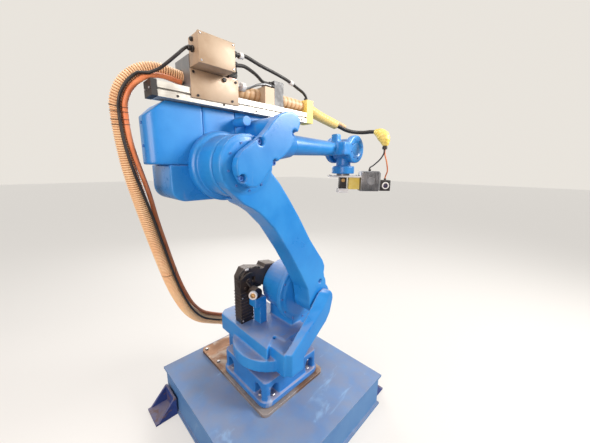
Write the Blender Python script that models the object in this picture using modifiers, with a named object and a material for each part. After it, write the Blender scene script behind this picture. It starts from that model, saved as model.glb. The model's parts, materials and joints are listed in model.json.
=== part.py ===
"""A six-axis industrial robot arm on a bolted steel plinth, with its hose carriage and a small tool.

Metres, +Z up. The origin is on the floor under the first axis. +X is the way the forearm points, and -Y is
the side of the lower arm. Angles are in degrees.
"""

import math

import bmesh
import bpy
from mathutils import Matrix, Vector

OBJECT_NAME = "robot_arm"

# Gaps and shared values
CLEARANCE = 0.0003
RUNNING_GAP = 0.008
OVERRUN = 0.02
WELD_DISTANCE = 0.00001
RENDER_STEPS = 40
SMALL_STEPS = 20
ARC_STEPS = 8

# Plinth and its sole plate
PLINTH_LENGTH = 1.01
PLINTH_WIDTH = 1.08
PLINTH_HEIGHT = 0.23
PLINTH_PLATE = 0.014
PLINTH_RECESS = 0.012
PLINTH_WALL = 0.012
ANCHOR_REACH = 0.13
ANCHOR_WIDTH = 0.16
ANCHOR_HEIGHT = 0.12
ANCHOR_PLATE = 0.012
ANCHOR_PLACE_SHARE = 0.39
SOLE_LENGTH = 0.50
SOLE_FRONT = 0.25
SOLE_REAR = 0.51
SOLE_PLATE = 0.020
SOLE_CORNER = 0.035

# Base casting
BASE_WIDTH = 0.46
BASE_FOOT = 0.035
BASE_CORNER = 0.055
BLOCK_WIDTH = 0.43
BLOCK_HEIGHT = 0.12
BLOCK_CORNER = 0.028
POCKET_WIDTH = 0.062
POCKET_DEPTH = 0.060
POCKET_HEIGHT = 0.085
POCKET_PITCH = 0.29
NECK_RADIUS = 0.190
NECK_HEIGHT = 0.025
SOCKET_WIDTH = 0.24
SOCKET_DEPTH = 0.11
SOCKET_HEIGHT = 0.13
SOCKET_EDGE = 0.006

# Turret: its skirt, its deck seen from above as shares of a span, and its web
SKIRT_RADIUS = 0.242
SKIRT_HEIGHT = 0.075
DECK_HEIGHT = 0.150
DECK_SPAN = 0.40
DECK_SHARES = (
    (-0.412, 0.825), (-0.412, -0.430), (-0.135, -0.252), (-0.085, -0.447), (0.250, -0.447),
    (0.425, -0.350), (0.425, 0.825), (0.325, 0.925), (-0.300, 0.925),
)
WEB_HEIGHT = 0.140
WEB_REAR = 0.125
WEB_BACK = 0.120
WEB_CHAMFER = 0.035

# Shoulder: its axis, the strap outside the arm as shares of a span from the axis, and its drum
SHOULDER_FORWARD = 0.190
SHOULDER_RISE = 0.56
STRAP_OUTER = 0.300
STRAP_THICKNESS = 0.040
STRAP_SPAN = 0.36
STRAP_OUTER_SHARES = (
    (-0.778, -0.611), (-0.661, -0.514), (-0.461, -0.375), (-0.247, -0.239), (-0.075, -0.106), (0.042, 0.014),
    (0.089, 0.106), (0.125, 0.149), (0.176, 0.082), (0.194, 0.0), (0.168, -0.097), (0.125, -0.250),
    (0.028, -0.383), (-0.194, -0.542), (-0.417, -0.708), (-0.514, -0.806),
)
STRAP_INNER_SHARES = (
    (-0.875, -0.611), (-0.733, -0.500), (-0.528, -0.306), (-0.361, -0.125), (-0.236, 0.028), (-0.097, 0.167),
    (0.014, 0.200), (0.129, 0.153), (0.181, 0.085), (0.200, 0.0), (0.173, -0.100), (0.131, -0.250),
    (0.036, -0.389), (-0.186, -0.550), (-0.408, -0.714), (-0.506, -0.806),
)
SHOULDER_DRUM_RADIUS = 0.165
SHOULDER_FLANGE_RADIUS = 0.198
SHOULDER_FLANGE_LAG = 0.007
SHOULDER_FLANGE_WIDTH = 0.035
SHOULDER_DRUM_REAR = 0.110
PEDESTAL_LENGTH = 0.20
JOURNAL_RADIUS = 0.040

# Motors on the turret: the cover's side view is given as shares of a span from the shoulder axis
MOTOR_RADIUS = 0.075
MOTOR_LENGTH = 0.150
MOTOR_COVER_WIDTH = 0.085
MOTOR_COVER_SPAN = 0.36
MOTOR_COVER_SHARES = (
    (-0.919, 0.278), (-0.811, 0.450), (-0.706, 0.458), (-0.419, 0.381), (-0.372, 0.447), (-0.128, 0.406),
    (0.078, 0.289), (-0.108, 0.108), (-0.381, 0.006), (-0.628, 0.167), (-0.628, 0.278),
)
TURRET_MOTOR_X = -0.134
TURRET_MOTOR_Y = 0.125
TURRET_MOTOR_LENGTH = 0.094
TURRET_MOTOR_WIDTH = 0.075
BRACKET_SPAN = 0.20
BRACKET_X = -0.080
BRACKET_Y = 0.045
BRACKET_WIDTH = 0.070
BRACKET_SHARES = (
    (0.175, 0.0), (0.440, 0.0), (0.440, 0.850), (0.390, 0.930), (0.0, 0.930), (0.0, 0.625), (0.175, 0.600),
)
CONNECTOR_RADIUS = 0.034
CONNECTOR_LENGTH = 0.055
CONNECTOR_X = -0.060

# Lower arm: its side view is given as shares along and across the line between its axes
ARM_OUTER = 0.250
ARM_THICKNESS = 0.130
ARM_EYE_THICKNESS = 0.060
ARM_REACH = -0.500
ARM_RISE = 0.790
ARM_FOOT_RADIUS = 0.095
ARM_EYE_RADIUS = 0.135
ARM_EDGE = 0.010
ARM_FRONT_SHARES = (
    (0.036, 0.096), (0.067, 0.112), (0.100, 0.114), (0.125, 0.124), (0.160, 0.152), (0.209, 0.158),
    (0.292, 0.149),
    (0.412, 0.138), (0.587, 0.137), (0.715, 0.130), (0.827, 0.120), (0.905, 0.103),
)
ARM_REAR_SHARES = (
    (0.867, -0.112), (0.820, -0.084), (0.767, -0.062), (0.652, -0.037), (0.453, -0.031), (0.287, -0.035),
    (0.147, -0.045),
)
ARM_RING_RADIUS = 0.110
ARM_RING_WIDTH = 0.004
ARM_POCKET_RADIUS = 0.014
ARM_POCKET_DEPTH = 0.020
ARM_POCKET_RISE = 0.113

# Link outside the lower arm: its side view is given as shares of a span from the elbow axis
LINK_THICKNESS = 0.040
LINK_SPAN = 0.30
LINK_SHARES = (
    (0.283, -0.023), (0.315, 0.020), (0.380, 0.060), (0.550, 0.165), (0.690, 0.290), (0.740, 0.370),
    (0.750, 0.450), (0.830, 0.540), (0.870, 0.640), (0.865, 0.720), (0.810, 0.775), (0.710, 0.805),
    (0.600, 0.797), (0.460, 0.740), (0.340, 0.640), (0.230, 0.510), (0.100, 0.395), (-0.060, 0.285),
    (-0.180, 0.205), (-0.262, 0.110), (-0.290, 0.010), (-0.275, -0.100), (-0.215, -0.205), (-0.110, -0.270),
    (0.010, -0.283), (0.120, -0.220),
)
LINK_POCKET_RADIUS = 0.017
LINK_POCKET_DEPTH = 0.022
LINK_POCKET_SHARES = ((0.110, 0.340), (-0.200, -0.155), (0.760, 0.500), (0.370, 0.055))
BRIDGE_RADIUS = 0.050
BRIDGE_SHARE = (0.650, 0.600)

# Elbow drum, from the arm's eye to the casing
ELBOW_DRUM_RADIUS = 0.137
ELBOW_GROOVE = 0.006
ELBOW_FLANGE_RADIUS = 0.160
ELBOW_FLANGE_WIDTH = 0.038
ELBOW_JOURNAL_RADIUS = 0.055
ELBOW_CHAMFER = 0.010

# Casing behind and above the elbow
FOREARM_RISE = 0.130
CASING_FACE = -0.020
CASING_WIDTH = 0.300
CASING_REAR = 0.312
CASING_SEAM = 0.075
CASING_FRONT = 0.090
CASING_BOTTOM = 0.005
CASING_HEIGHT = 0.255
CASING_CORNER = 0.045
CASING_NOSE = 0.085
CASING_SLANT = 0.140
CASING_EDGE = 0.020
SEAM_EDGE = 0.005
POD_REAR = 0.235
POD_FRONT = 0.060
POD_DROP = 0.160
POD_CORNER = 0.060
POD_WIDTH = 0.240
GLAND_RADIUS = 0.022
GLAND_LENGTH = 0.090
GLAND_FORWARD = 0.007
GLAND_DROP = 0.050

# Forearm, wrist and flange
HEAD_LENGTH = 0.280
HEAD_WIDTH = 0.220
HEAD_HEIGHT = 0.200
HEAD_EDGE = 0.006
NOSE_LENGTH = 0.100
NOSE_ROOT_RADIUS = 0.091
NOSE_TIP_RADIUS = 0.073
FOREARM_REACH = 1.040
FOREARM_ROOT_RADIUS = 0.061
FOREARM_TIP_RADIUS = 0.047
FORK_THICKNESS = 0.045
FORK_HALF_HEIGHT = 0.045
FORK_ROOT = 0.060
FORK_DISC_RADIUS = 0.098
FORK_RECESS_RADIUS = 0.052
FORK_RECESS_DEPTH = 0.008
FOREARM_BLOCK_PLACE = 0.114
FOREARM_BLOCK_LENGTH = 0.050
FOREARM_BLOCK_WIDTH = 0.055
FOREARM_BLOCK_RISE = 0.100
WRIST_REACH = 0.190
WRIST_RADIUS = 0.078
WRIST_BODY_WIDTH = 0.120
WRIST_NECK_RADIUS = 0.055
WRIST_COLLAR_RADIUS = 0.084
WRIST_COLLAR_WIDTH = 0.056
FLANGE_RADIUS = 0.050
FLANGE_THICKNESS = 0.014

# Rail and what rides on it
RAIL_HEIGHT = 0.056
RAIL_WIDTH = 0.080
RAIL_FACE = -0.060
RAIL_REAR = 0.270
RAIL_FRONT = 0.560
RAIL_CAP = 0.022
RAIL_CAP_LIP = 0.003
GUIDE_LENGTH = 0.055
GUIDE_RISE = 0.074
PLATE_THICKNESS = 0.006
PLATE_REAR = 0.140
PLATE_LIFT = 0.018
PLATE_LENGTH = 0.225
PLATE_HEIGHT = 0.110
CARRIAGE_LENGTH = 0.150
CARRIAGE_WIDTH = 0.140
CARRIAGE_RISE = 0.125
BOX_LENGTH = 0.160
BOX_HEIGHT = 0.110
BOX_DEPTH = 0.090
VALVE_LENGTH = 0.045
VALVE_DEPTH = 0.040
VALVE_LIFT = 0.029
VALVE_HEIGHT = 0.108
GAUGE_STEM_RADIUS = 0.008
GAUGE_STEM_LENGTH = 0.030
GAUGE_RADIUS = 0.020
GAUGE_LENGTH = 0.024
GAUGE_PLACE = 0.025
GAUGE_RISE = 0.060
CLAMP_START = 0.247
CLAMP_LENGTH = 0.062
CLAMP_WIDTH = 0.110
CLAMP_RISE = 0.084
MANIFOLD_LENGTH = 0.063
MANIFOLD_RISE = 0.122
HOSE_RADIUS = 0.031
TAPED_RADIUS = 0.032
AIR_HOSE_RADIUS = 0.008
GAUGE_HOSE_RADIUS = 0.006
ORANGE_RADIUS = 0.010
SIGNAL_RADIUS = 0.006
STRAPPED_GAP = 0.001
WRIST_HOSE_RADIUS = 0.014
TOOL_CABLE_RADIUS = 0.005

# Tool, which hangs turned by this angle from the forearm
TOOL_TURN = -45.0
TOOL_PLATE_LENGTH = 0.240
TOOL_PLATE_REAR = 0.110
TOOL_PLATE_WIDTH = 0.120
TOOL_PLATE_THICKNESS = 0.012
TOOL_GAP = 0.004
TOOL_BLOCK_WIDTH = 0.055
TOOL_BLOCK_HEIGHT = 0.085
TOOL_FOOT_LIP = 0.012
TOOL_FOOT_HEIGHT = 0.030
SENSOR_HEIGHT = 0.090
TOOL_MOTOR_LENGTH = 0.150
TOOL_MOTOR_WIDTH = 0.110
TOOL_MOTOR_HEIGHT = 0.150
TOOL_MOTOR_DROP = 0.115
TOOL_LENS_LENGTH = 0.080
TOOL_LENS_WIDTH = 0.085

# Colours and finishes
BLUE = (0.045, 0.235, 0.62)
PLINTH_BLUE = (0.11, 0.25, 0.50)
DARK_BLUE = (0.02, 0.05, 0.28)
STEEL = (0.42, 0.38, 0.33)
ALUMINIUM = (0.75, 0.74, 0.71)
BLACK = (0.015, 0.013, 0.012)
SAND = (0.52, 0.42, 0.32)
YELLOW = (0.85, 0.62, 0.12)
ORANGE = (0.80, 0.36, 0.10)
GREY = (0.30, 0.30, 0.30)
WHITE = (0.80, 0.79, 0.76)

# Heights and axes worked out from the sizes above
PLINTH_TOP = PLINTH_HEIGHT
SOLE_TOP = PLINTH_TOP + SOLE_PLATE
FOOT_TOP = SOLE_TOP + BASE_FOOT
BLOCK_TOP = FOOT_TOP + BLOCK_HEIGHT
NECK_TOP = BLOCK_TOP + NECK_HEIGHT
DECK_TOP = NECK_TOP + DECK_HEIGHT
SHOULDER = Vector((SHOULDER_FORWARD, 0.0, PLINTH_TOP + SHOULDER_RISE))
ELBOW = SHOULDER + Vector((ARM_REACH, 0.0, ARM_RISE))
FOREARM = ELBOW + Vector((0.0, 0.0, FOREARM_RISE))
WRIST = FOREARM + Vector((FOREARM_REACH, 0.0, 0.0))
FLANGE = WRIST - Vector((0.0, 0.0, WRIST_REACH))
ARM_FRONT = -ARM_OUTER
ARM_BACK = ARM_FRONT + ARM_THICKNESS
ARM_EYE_BACK = ARM_FRONT + ARM_EYE_THICKNESS
RING_FACE = ARM_FRONT - ARM_RING_WIDTH
DRUM_FACE = ARM_BACK + RUNNING_GAP
STRAP_FACE = -STRAP_OUTER
STRAP_BACK = STRAP_FACE + STRAP_THICKNESS
CASING_TOP = ELBOW.z + CASING_BOTTOM + CASING_HEIGHT
RAIL_LOW = CASING_TOP + CLEARANCE
RAIL_TOP = RAIL_LOW + RAIL_HEIGHT
RAIL_START = ELBOW.x - RAIL_REAR
RAIL_END = ELBOW.x + RAIL_FRONT
PLATE_START = ELBOW.x - PLATE_REAR
PLATE_LOW = RAIL_LOW + PLATE_LIFT
PLATE_BACK = RAIL_FACE - CLEARANCE
CLAMP_X = ELBOW.x + CLAMP_START
MANIFOLD_X = CLAMP_X + CLAMP_LENGTH + CLEARANCE
HEAD_START = ELBOW.x + CASING_FRONT + CLEARANCE
NOSE_START = HEAD_START + HEAD_LENGTH + CLEARANCE
FOREARM_START = NOSE_START + NOSE_LENGTH + CLEARANCE


# Scene and materials

def clear_scene():
    for found in list(bpy.data.objects):
        bpy.data.objects.remove(found, do_unlink=True)


def new_collection(name, shown):
    collection = bpy.data.collections.new(name)
    bpy.context.scene.collection.children.link(collection)
    collection.hide_render = not shown
    return collection


def new_material(name, colour, roughness, metallic):
    material = bpy.data.materials.new(name)
    material.use_nodes = True
    shader = material.node_tree.nodes["Principled BSDF"]
    shader.inputs["Base Color"].default_value = (*colour, 1.0)
    shader.inputs["Roughness"].default_value = roughness
    shader.inputs["Metallic"].default_value = metallic
    return material


clear_scene()
PARTS = new_collection(OBJECT_NAME, True)
CUTTERS = new_collection("cutters", False)
PAINT = new_material("robot_paint", BLUE, 0.35, 0.0)
PLINTH_PAINT = new_material("plinth_paint", PLINTH_BLUE, 0.45, 0.0)
ANCHOR_PAINT = new_material("anchor_paint", DARK_BLUE, 0.5, 0.0)
BARE_STEEL = new_material("bare_steel", STEEL, 0.55, 0.8)
BARE_ALUMINIUM = new_material("aluminium", ALUMINIUM, 0.35, 0.9)
BLACK_PLASTIC = new_material("black_plastic", BLACK, 0.5, 0.0)
SAND_SHEET = new_material("sand_sheet", SAND, 0.5, 0.0)
YELLOW_TAPE = new_material("yellow_tape", YELLOW, 0.6, 0.0)
ORANGE_HOSE = new_material("orange_hose", ORANGE, 0.6, 0.0)
GREY_METAL = new_material("grey_metal", GREY, 0.45, 0.6)
WHITE_PAINT = new_material("white_paint", WHITE, 0.4, 0.0)


# Joints: each moving body hangs on an empty that sits on its axis

def new_joint(name, at, parent):
    joint = bpy.data.objects.new(name, None)
    joint.parent = parent
    joint.location = at - joint_place(parent)
    PARTS.objects.link(joint)
    return joint


def joint_place(joint):
    place = Vector((0.0, 0.0, 0.0))
    while joint is not None:
        place = place + joint.location
        joint = joint.parent
    return place


TURRET_AXIS = new_joint("turret_axis", Vector((0.0, 0.0, NECK_TOP)), None)
SHOULDER_AXIS = new_joint("shoulder_axis", SHOULDER, TURRET_AXIS)
ELBOW_AXIS = new_joint("elbow_axis", ELBOW, SHOULDER_AXIS)
FOREARM_AXIS = new_joint("forearm_axis", FOREARM, ELBOW_AXIS)
WRIST_AXIS = new_joint("wrist_axis", WRIST, FOREARM_AXIS)
TOOL_AXIS = new_joint("tool_axis", FLANGE, WRIST_AXIS)


# Shapes

def mesh_object(name, mesh_maker, at):
    """A new object at a world place, with the mesh that mesh_maker builds round its own origin."""
    mesh = bpy.data.meshes.new(name)
    work = bmesh.new()
    mesh_maker(work)
    work.to_mesh(mesh)
    work.free()
    made = bpy.data.objects.new(name, mesh)
    made.location = at
    CUTTERS.objects.link(made)
    return made


def box(name, low, high):
    low = Vector(low)
    high = Vector(high)

    def make(work):
        bmesh.ops.create_cube(work, size=1.0)
        bmesh.ops.scale(work, vec=high - low, verts=work.verts)

    return mesh_object(name, make, (low + high) / 2)


TURNS = {
    "X": Matrix.Rotation(math.radians(90), 4, "Y"),
    "Y": Matrix.Rotation(math.radians(-90), 4, "X"),
    "Z": Matrix.Identity(4),
}


def cone(name, start, axis, length, radius, end_radius, steps=RENDER_STEPS):
    """A cylinder or cone from start along an axis, with flat ends."""

    def make(work):
        bmesh.ops.create_cone(
            work,
            cap_ends=True,
            segments=steps,
            radius1=radius,
            radius2=end_radius,
            depth=length,
            matrix=Matrix.Translation((0.0, 0.0, length / 2)),
        )

    made = mesh_object(name, make, start)
    made.rotation_euler = TURNS[axis].to_euler()
    return made


def cylinder(name, start, axis, length, radius, steps=RENDER_STEPS):
    return cone(name, start, axis, length, radius, radius, steps)


def arc(centre, radius, start, end, steps=ARC_STEPS):
    """Points on an arc about a centre (across, up), from one angle to another."""
    angles = [start + (end - start) * step / steps for step in range(steps + 1)]
    return [
        (
            centre[0] + radius * math.cos(math.radians(angle)),
            centre[1] + radius * math.sin(math.radians(angle)),
        )
        for angle in angles
    ]


def as_mesh(curve_object):
    """The curve's solid as a mesh object in the same place, with its loose caps welded."""
    bpy.context.view_layer.update()
    evaluated = curve_object.evaluated_get(bpy.context.evaluated_depsgraph_get())
    mesh = bpy.data.meshes.new_from_object(evaluated)
    work = bmesh.new()
    work.from_mesh(mesh)
    bmesh.ops.remove_doubles(work, verts=work.verts, dist=WELD_DISTANCE)
    work.to_mesh(mesh)
    work.free()
    made = bpy.data.objects.new(curve_object.name, mesh)
    made.matrix_world = curve_object.matrix_world
    CUTTERS.objects.link(made)
    bpy.data.objects.remove(curve_object, do_unlink=True)
    return made


def extruded(name, outline, low, high, axis="Y"):
    """A flat outline given a thickness from low to high along an axis.

    The outline's two numbers are X and Z for axis Y, X and Y for axis Z, and Y and Z for axis X.
    """
    curve = bpy.data.curves.new(name, "CURVE")
    curve.dimensions = "2D"
    curve.fill_mode = "BOTH"
    curve.extrude = (high - low) / 2
    spline = curve.splines.new("POLY")
    spline.points.add(len(outline) - 1)
    for point, (across, up) in zip(spline.points, outline):
        point.co = (across, up, 0.0, 1.0)
    spline.use_cyclic_u = True
    made = bpy.data.objects.new(name, curve)
    CUTTERS.objects.link(made)
    middle = (low + high) / 2
    if axis == "Y":
        made.location = (0.0, middle, 0.0)
        made.rotation_euler = (math.radians(90), 0.0, 0.0)
    elif axis == "X":
        made.location = (middle, 0.0, 0.0)
        made.rotation_euler = (math.radians(90), 0.0, math.radians(90))
    else:
        made.location = (0.0, 0.0, middle)
    return as_mesh(made)


def lofted(name, low_outline, low, high_outline, high):
    """A solid between two flat outlines (X, Z) with the same number of points, low and high along Y."""

    def make(work):
        near = [work.verts.new((across, low, up)) for across, up in low_outline]
        far = [work.verts.new((across, high, up)) for across, up in high_outline]
        work.faces.new(near)
        work.faces.new(list(reversed(far)))
        for index in range(len(near)):
            after = (index + 1) % len(near)
            work.faces.new((near[after], near[index], far[index], far[after]))
        bmesh.ops.recalc_face_normals(work, faces=work.faces)

    return mesh_object(name, make, Vector((0.0, 0.0, 0.0)))


def spread(shares, span, centre):
    """An outline about a centre (across, up), from its shares of a span."""
    return [(centre[0] + across * span, centre[1] + up * span) for across, up in shares]


def turned(name, profile, at, axis):
    """A body of revolution: the profile lists (radius, place along the axis), from low to high."""
    mesh = bpy.data.meshes.new(name)
    points = [(radius, 0.0, height) for radius, height in reversed(profile)]
    edges = [(index, index + 1) for index in range(len(points) - 1)]
    mesh.from_pydata(points, edges, [])
    made = bpy.data.objects.new(name, mesh)
    made.location = at
    made.rotation_euler = TURNS[axis].to_euler()
    screw = made.modifiers.new("turn", "SCREW")
    screw.steps = RENDER_STEPS
    screw.render_steps = RENDER_STEPS
    screw.use_merge_vertices = True
    screw.merge_threshold = WELD_DISTANCE
    screw.use_normal_calculate = True
    CUTTERS.objects.link(made)
    return made


def smooth_route(points, spacing):
    """Points about one spacing apart on a smooth curve through the route's points."""
    guides = [Vector(point) for point in points]
    guides = [guides[0] * 2 - guides[1]] + guides + [guides[-1] * 2 - guides[-2]]
    route = []
    for index in range(1, len(guides) - 2):
        before, start, end, after = guides[index - 1 : index + 3]
        steps = max(1, round((end - start).length / spacing))
        for step in range(steps):
            t = step / steps
            route.append(
                0.5 * (2 * start + (end - before) * t
                       + (2 * before - 5 * start + 4 * end - after) * t**2
                       + (3 * start - before - 3 * end + after) * t**3)
            )
    return route + [guides[-2]]


def tube(name, route, radius, resolution=2):
    curve = bpy.data.curves.new(name, "CURVE")
    curve.dimensions = "3D"
    curve.bevel_depth = radius
    curve.bevel_resolution = resolution
    curve.use_fill_caps = True
    spline = curve.splines.new("POLY")
    spline.points.add(len(route) - 1)
    for point, place in zip(spline.points, route):
        point.co = (*place, 1.0)
    made = bpy.data.objects.new(name, curve)
    CUTTERS.objects.link(made)
    return made


def combine(target, operation, others):
    for other in others:
        other.hide_render = True
        other.display_type = "WIRE"
        step = target.modifiers.new(operation.lower(), "BOOLEAN")
        step.operation = operation
        step.solver = "EXACT"
        step.object = other
    return target


def joined(target, *others):
    return combine(target, "UNION", others)


def cut(target, *others):
    return combine(target, "DIFFERENCE", others)


def soften(target, width, segments=2, angle=40.0):
    bevel = target.modifiers.new("soften", "BEVEL")
    bevel.width = width
    bevel.segments = segments
    bevel.limit_method = "ANGLE"
    bevel.angle_limit = math.radians(angle)
    return target


def add_part(made, name, material, body=None):
    """Names a finished solid, gives it its material and hangs it on the joint that carries it."""
    made.name = name
    made.data.name = name
    made.data.materials.clear()
    made.data.materials.append(material)
    if made.type == "MESH":
        made.data.shade_smooth()
    CUTTERS.objects.unlink(made)
    PARTS.objects.link(made)
    if body is not None:
        made.location = made.location - joint_place(body)
        made.parent = body
    return made


# Plinth

def build_plinth():
    half_length = PLINTH_LENGTH / 2
    half_width = PLINTH_WIDTH / 2
    base = box("base", (-half_length, -half_width, 0.0), (half_length, half_width, PLINTH_PLATE))
    add_part(base, "plinth_floor_plate", PLINTH_PAINT)
    outer = Vector((half_length - PLINTH_RECESS, half_width - PLINTH_RECESS, 0.0))
    inner = outer - Vector((PLINTH_WALL, PLINTH_WALL, 0.0))
    low = Vector((0.0, 0.0, PLINTH_PLATE + CLEARANCE))
    high = Vector((0.0, 0.0, PLINTH_TOP - PLINTH_PLATE - CLEARANCE))
    over = Vector((0.0, 0.0, OVERRUN))
    frame = cut(box("frame", low - outer, high + outer), box("room", low - inner - over, high + inner + over))
    add_part(frame, "plinth_frame", PLINTH_PAINT)
    top = box(
        "top",
        (-half_length, -half_width, PLINTH_TOP - PLINTH_PLATE),
        (half_length, half_width, PLINTH_TOP),
    )
    add_part(top, "plinth_top_plate", PLINTH_PAINT)


def build_anchor(name, side, place):
    """A floor anchor on a plinth side: a foot plate with two gussets and an upright against the frame."""
    face = PLINTH_LENGTH / 2 + CLEARANCE
    reach = face + ANCHOR_REACH
    half = ANCHOR_WIDTH / 2
    foot = box("foot", (face, -half, 0.0), (reach, half, ANCHOR_PLATE))
    upright = box("upright", (face, -half, 0.0), (face + ANCHOR_PLATE, half, ANCHOR_HEIGHT))
    gusset_outline = [
        (face, ANCHOR_PLATE / 2),
        (reach - ANCHOR_PLATE, ANCHOR_PLATE / 2),
        (face + ANCHOR_PLATE, ANCHOR_HEIGHT),
        (face, ANCHOR_HEIGHT),
    ]
    near = extruded("gusset", gusset_outline, -half, ANCHOR_PLATE - half)
    far = extruded("gusset", gusset_outline, half - ANCHOR_PLATE, half)
    anchor = joined(foot, upright, near, far)
    for piece in (foot, upright, near, far):
        piece.location.x = piece.location.x * side
        piece.location.y = piece.location.y + place
        if side < 0:
            piece.rotation_euler.z = piece.rotation_euler.z + math.radians(180)
    add_part(anchor, name, ANCHOR_PAINT)


def build_anchors():
    for side_name, side in (("left", -1), ("right", 1)):
        for place_name, place in (("front", -ANCHOR_PLACE_SHARE), ("rear", ANCHOR_PLACE_SHARE)):
            build_anchor(f"anchor_{side_name}_{place_name}", side, place * PLINTH_WIDTH)


def rounded_rectangle(low, high, corner, steps=ARC_STEPS):
    """A rectangle's outline between two corners (across, up), with rounded corners."""
    left = low[0] + corner
    right = high[0] - corner
    bottom = low[1] + corner
    top = high[1] - corner
    return (
        arc((right, bottom), corner, -90, 0, steps)
        + arc((right, top), corner, 0, 90, steps)
        + arc((left, top), corner, 90, 180, steps)
        + arc((left, bottom), corner, 180, 270, steps)
    )


def build_sole_plate():
    outline = rounded_rectangle(
        (-SOLE_LENGTH / 2, -SOLE_FRONT), (SOLE_LENGTH / 2, SOLE_REAR), SOLE_CORNER
    )
    plate = extruded("sole", outline, PLINTH_TOP + CLEARANCE, SOLE_TOP, "Z")
    add_part(plate, "sole_plate", BARE_STEEL)


# Base casting

def rounded_square(width, corner):
    return rounded_rectangle((-width / 2, -width / 2), (width / 2, width / 2), corner)


def pocket_outline():
    half = POCKET_WIDTH / 2
    crown = FOOT_TOP + POCKET_HEIGHT - half
    return [(-half, FOOT_TOP), (half, FOOT_TOP)] + arc((0.0, crown), half, 0, 180)


def bolt_pockets():
    """Arched pockets beside each corner, two to a corner, that give room to the floor bolts."""
    pockets = []
    reach = BLOCK_WIDTH / 2
    for turn in (0, 90, 180, 270):
        for place in (-POCKET_PITCH / 2, POCKET_PITCH / 2):
            outline = [(across + place, up) for across, up in pocket_outline()]
            pocket = extruded("pocket", outline, -reach - OVERRUN, POCKET_DEPTH - reach)
            pocket.matrix_world = Matrix.Rotation(math.radians(turn), 4, "Z") @ pocket.matrix_world
            pockets.append(pocket)
    return pockets


def build_base():
    foot = extruded("foot", rounded_square(BASE_WIDTH, BASE_CORNER), SOLE_TOP + CLEARANCE, FOOT_TOP, "Z")
    block = extruded(
        "block", rounded_square(BLOCK_WIDTH, BLOCK_CORNER), FOOT_TOP - BASE_FOOT / 2, BLOCK_TOP, "Z"
    )
    neck_start = Vector((0.0, 0.0, BLOCK_TOP - OVERRUN))
    neck = cylinder("neck", neck_start, "Z", NECK_TOP - BLOCK_TOP + OVERRUN, NECK_RADIUS)
    base = joined(foot, block, neck)
    cut(base, *bolt_pockets())
    add_part(base, "base_casting", PAINT)


def build_socket_box():
    low = BLOCK_WIDTH / 2 + CLEARANCE
    socket = box(
        "socket",
        (-SOCKET_WIDTH / 2, low, FOOT_TOP + CLEARANCE),
        (SOCKET_WIDTH / 2, low + SOCKET_DEPTH, FOOT_TOP + SOCKET_HEIGHT),
    )
    soften(socket, SOCKET_EDGE)
    add_part(socket, "connector_box", PAINT)


# Turret

def build_turret():
    start = NECK_TOP + CLEARANCE
    skirt = cylinder("skirt", Vector((0.0, 0.0, start)), "Z", SKIRT_HEIGHT, SKIRT_RADIUS)
    deck = extruded(
        "deck", spread(DECK_SHARES, DECK_SPAN, (0.0, 0.0)), start + SKIRT_HEIGHT / 2, DECK_TOP, "Z"
    )
    centre = (SHOULDER.x, SHOULDER.z)
    outer = [(-WEB_REAR + WEB_CHAMFER, start)] + spread(STRAP_OUTER_SHARES, STRAP_SPAN, centre)
    inner = [(-WEB_REAR, start)] + spread(STRAP_INNER_SHARES, STRAP_SPAN, centre)
    foot_front = outer[-1][0]
    strap = lofted(
        "strap", outer + [(foot_front, start)], STRAP_FACE, inner + [(foot_front, start)], STRAP_BACK
    )
    web = box(
        "web", (-WEB_REAR, STRAP_BACK - STRAP_THICKNESS / 4, start),
        (foot_front, -WEB_BACK, start + WEB_HEIGHT),
    )
    pedestal_half = PEDESTAL_LENGTH / 2
    pedestal = box(
        "pedestal",
        (SHOULDER.x - pedestal_half, DRUM_FACE + SHOULDER_FLANGE_LAG, start),
        (SHOULDER.x + pedestal_half, SHOULDER_DRUM_REAR, SHOULDER.z),
    )
    drum = cylinder(
        "drum", Vector((SHOULDER.x, DRUM_FACE, SHOULDER.z)), "Y",
        SHOULDER_DRUM_REAR - DRUM_FACE, SHOULDER_DRUM_RADIUS,
    )
    flange = cylinder(
        "flange", Vector((SHOULDER.x, DRUM_FACE + SHOULDER_FLANGE_LAG, SHOULDER.z)), "Y",
        SHOULDER_FLANGE_WIDTH, SHOULDER_FLANGE_RADIUS,
    )
    turret = joined(skirt, deck, strap, web, pedestal, drum, flange)
    add_part(turret, "turret", PAINT, TURRET_AXIS)


def build_motors():
    back = SHOULDER_DRUM_REAR + CLEARANCE
    motor = cylinder(
        "motor", Vector((SHOULDER.x, back, SHOULDER.z)), "Y", MOTOR_LENGTH, MOTOR_RADIUS, SMALL_STEPS
    )
    outline = spread(MOTOR_COVER_SHARES, MOTOR_COVER_SPAN, (SHOULDER.x, SHOULDER.z))
    cover = extruded("cover", outline, back, back + MOTOR_COVER_WIDTH)
    add_part(joined(motor, cover), "shoulder_motor", BLACK_PLASTIC, TURRET_AXIS)
    start = DECK_TOP + CLEARANCE
    column = box(
        "column", (TURRET_MOTOR_X, TURRET_MOTOR_Y, start),
        (
            TURRET_MOTOR_X + TURRET_MOTOR_LENGTH, TURRET_MOTOR_Y + TURRET_MOTOR_WIDTH,
            outline[0][1] - CLEARANCE,
        ),
    )
    add_part(column, "turret_motor", BLACK_PLASTIC, TURRET_AXIS)
    outline = spread(BRACKET_SHARES, BRACKET_SPAN, (BRACKET_X, start))
    bracket = extruded("bracket", outline, BRACKET_Y, BRACKET_Y + BRACKET_WIDTH)
    add_part(bracket, "motor_bracket", PAINT, TURRET_AXIS)
    place = Vector((CONNECTOR_X, BRACKET_Y, outline[4][1] + CLEARANCE + CONNECTOR_RADIUS))
    connector = cylinder("connector", place, "Y", CONNECTOR_LENGTH, CONNECTOR_RADIUS, SMALL_STEPS)
    add_part(connector, "motor_connector", WHITE_PAINT, TURRET_AXIS)


# Lower arm

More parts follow.
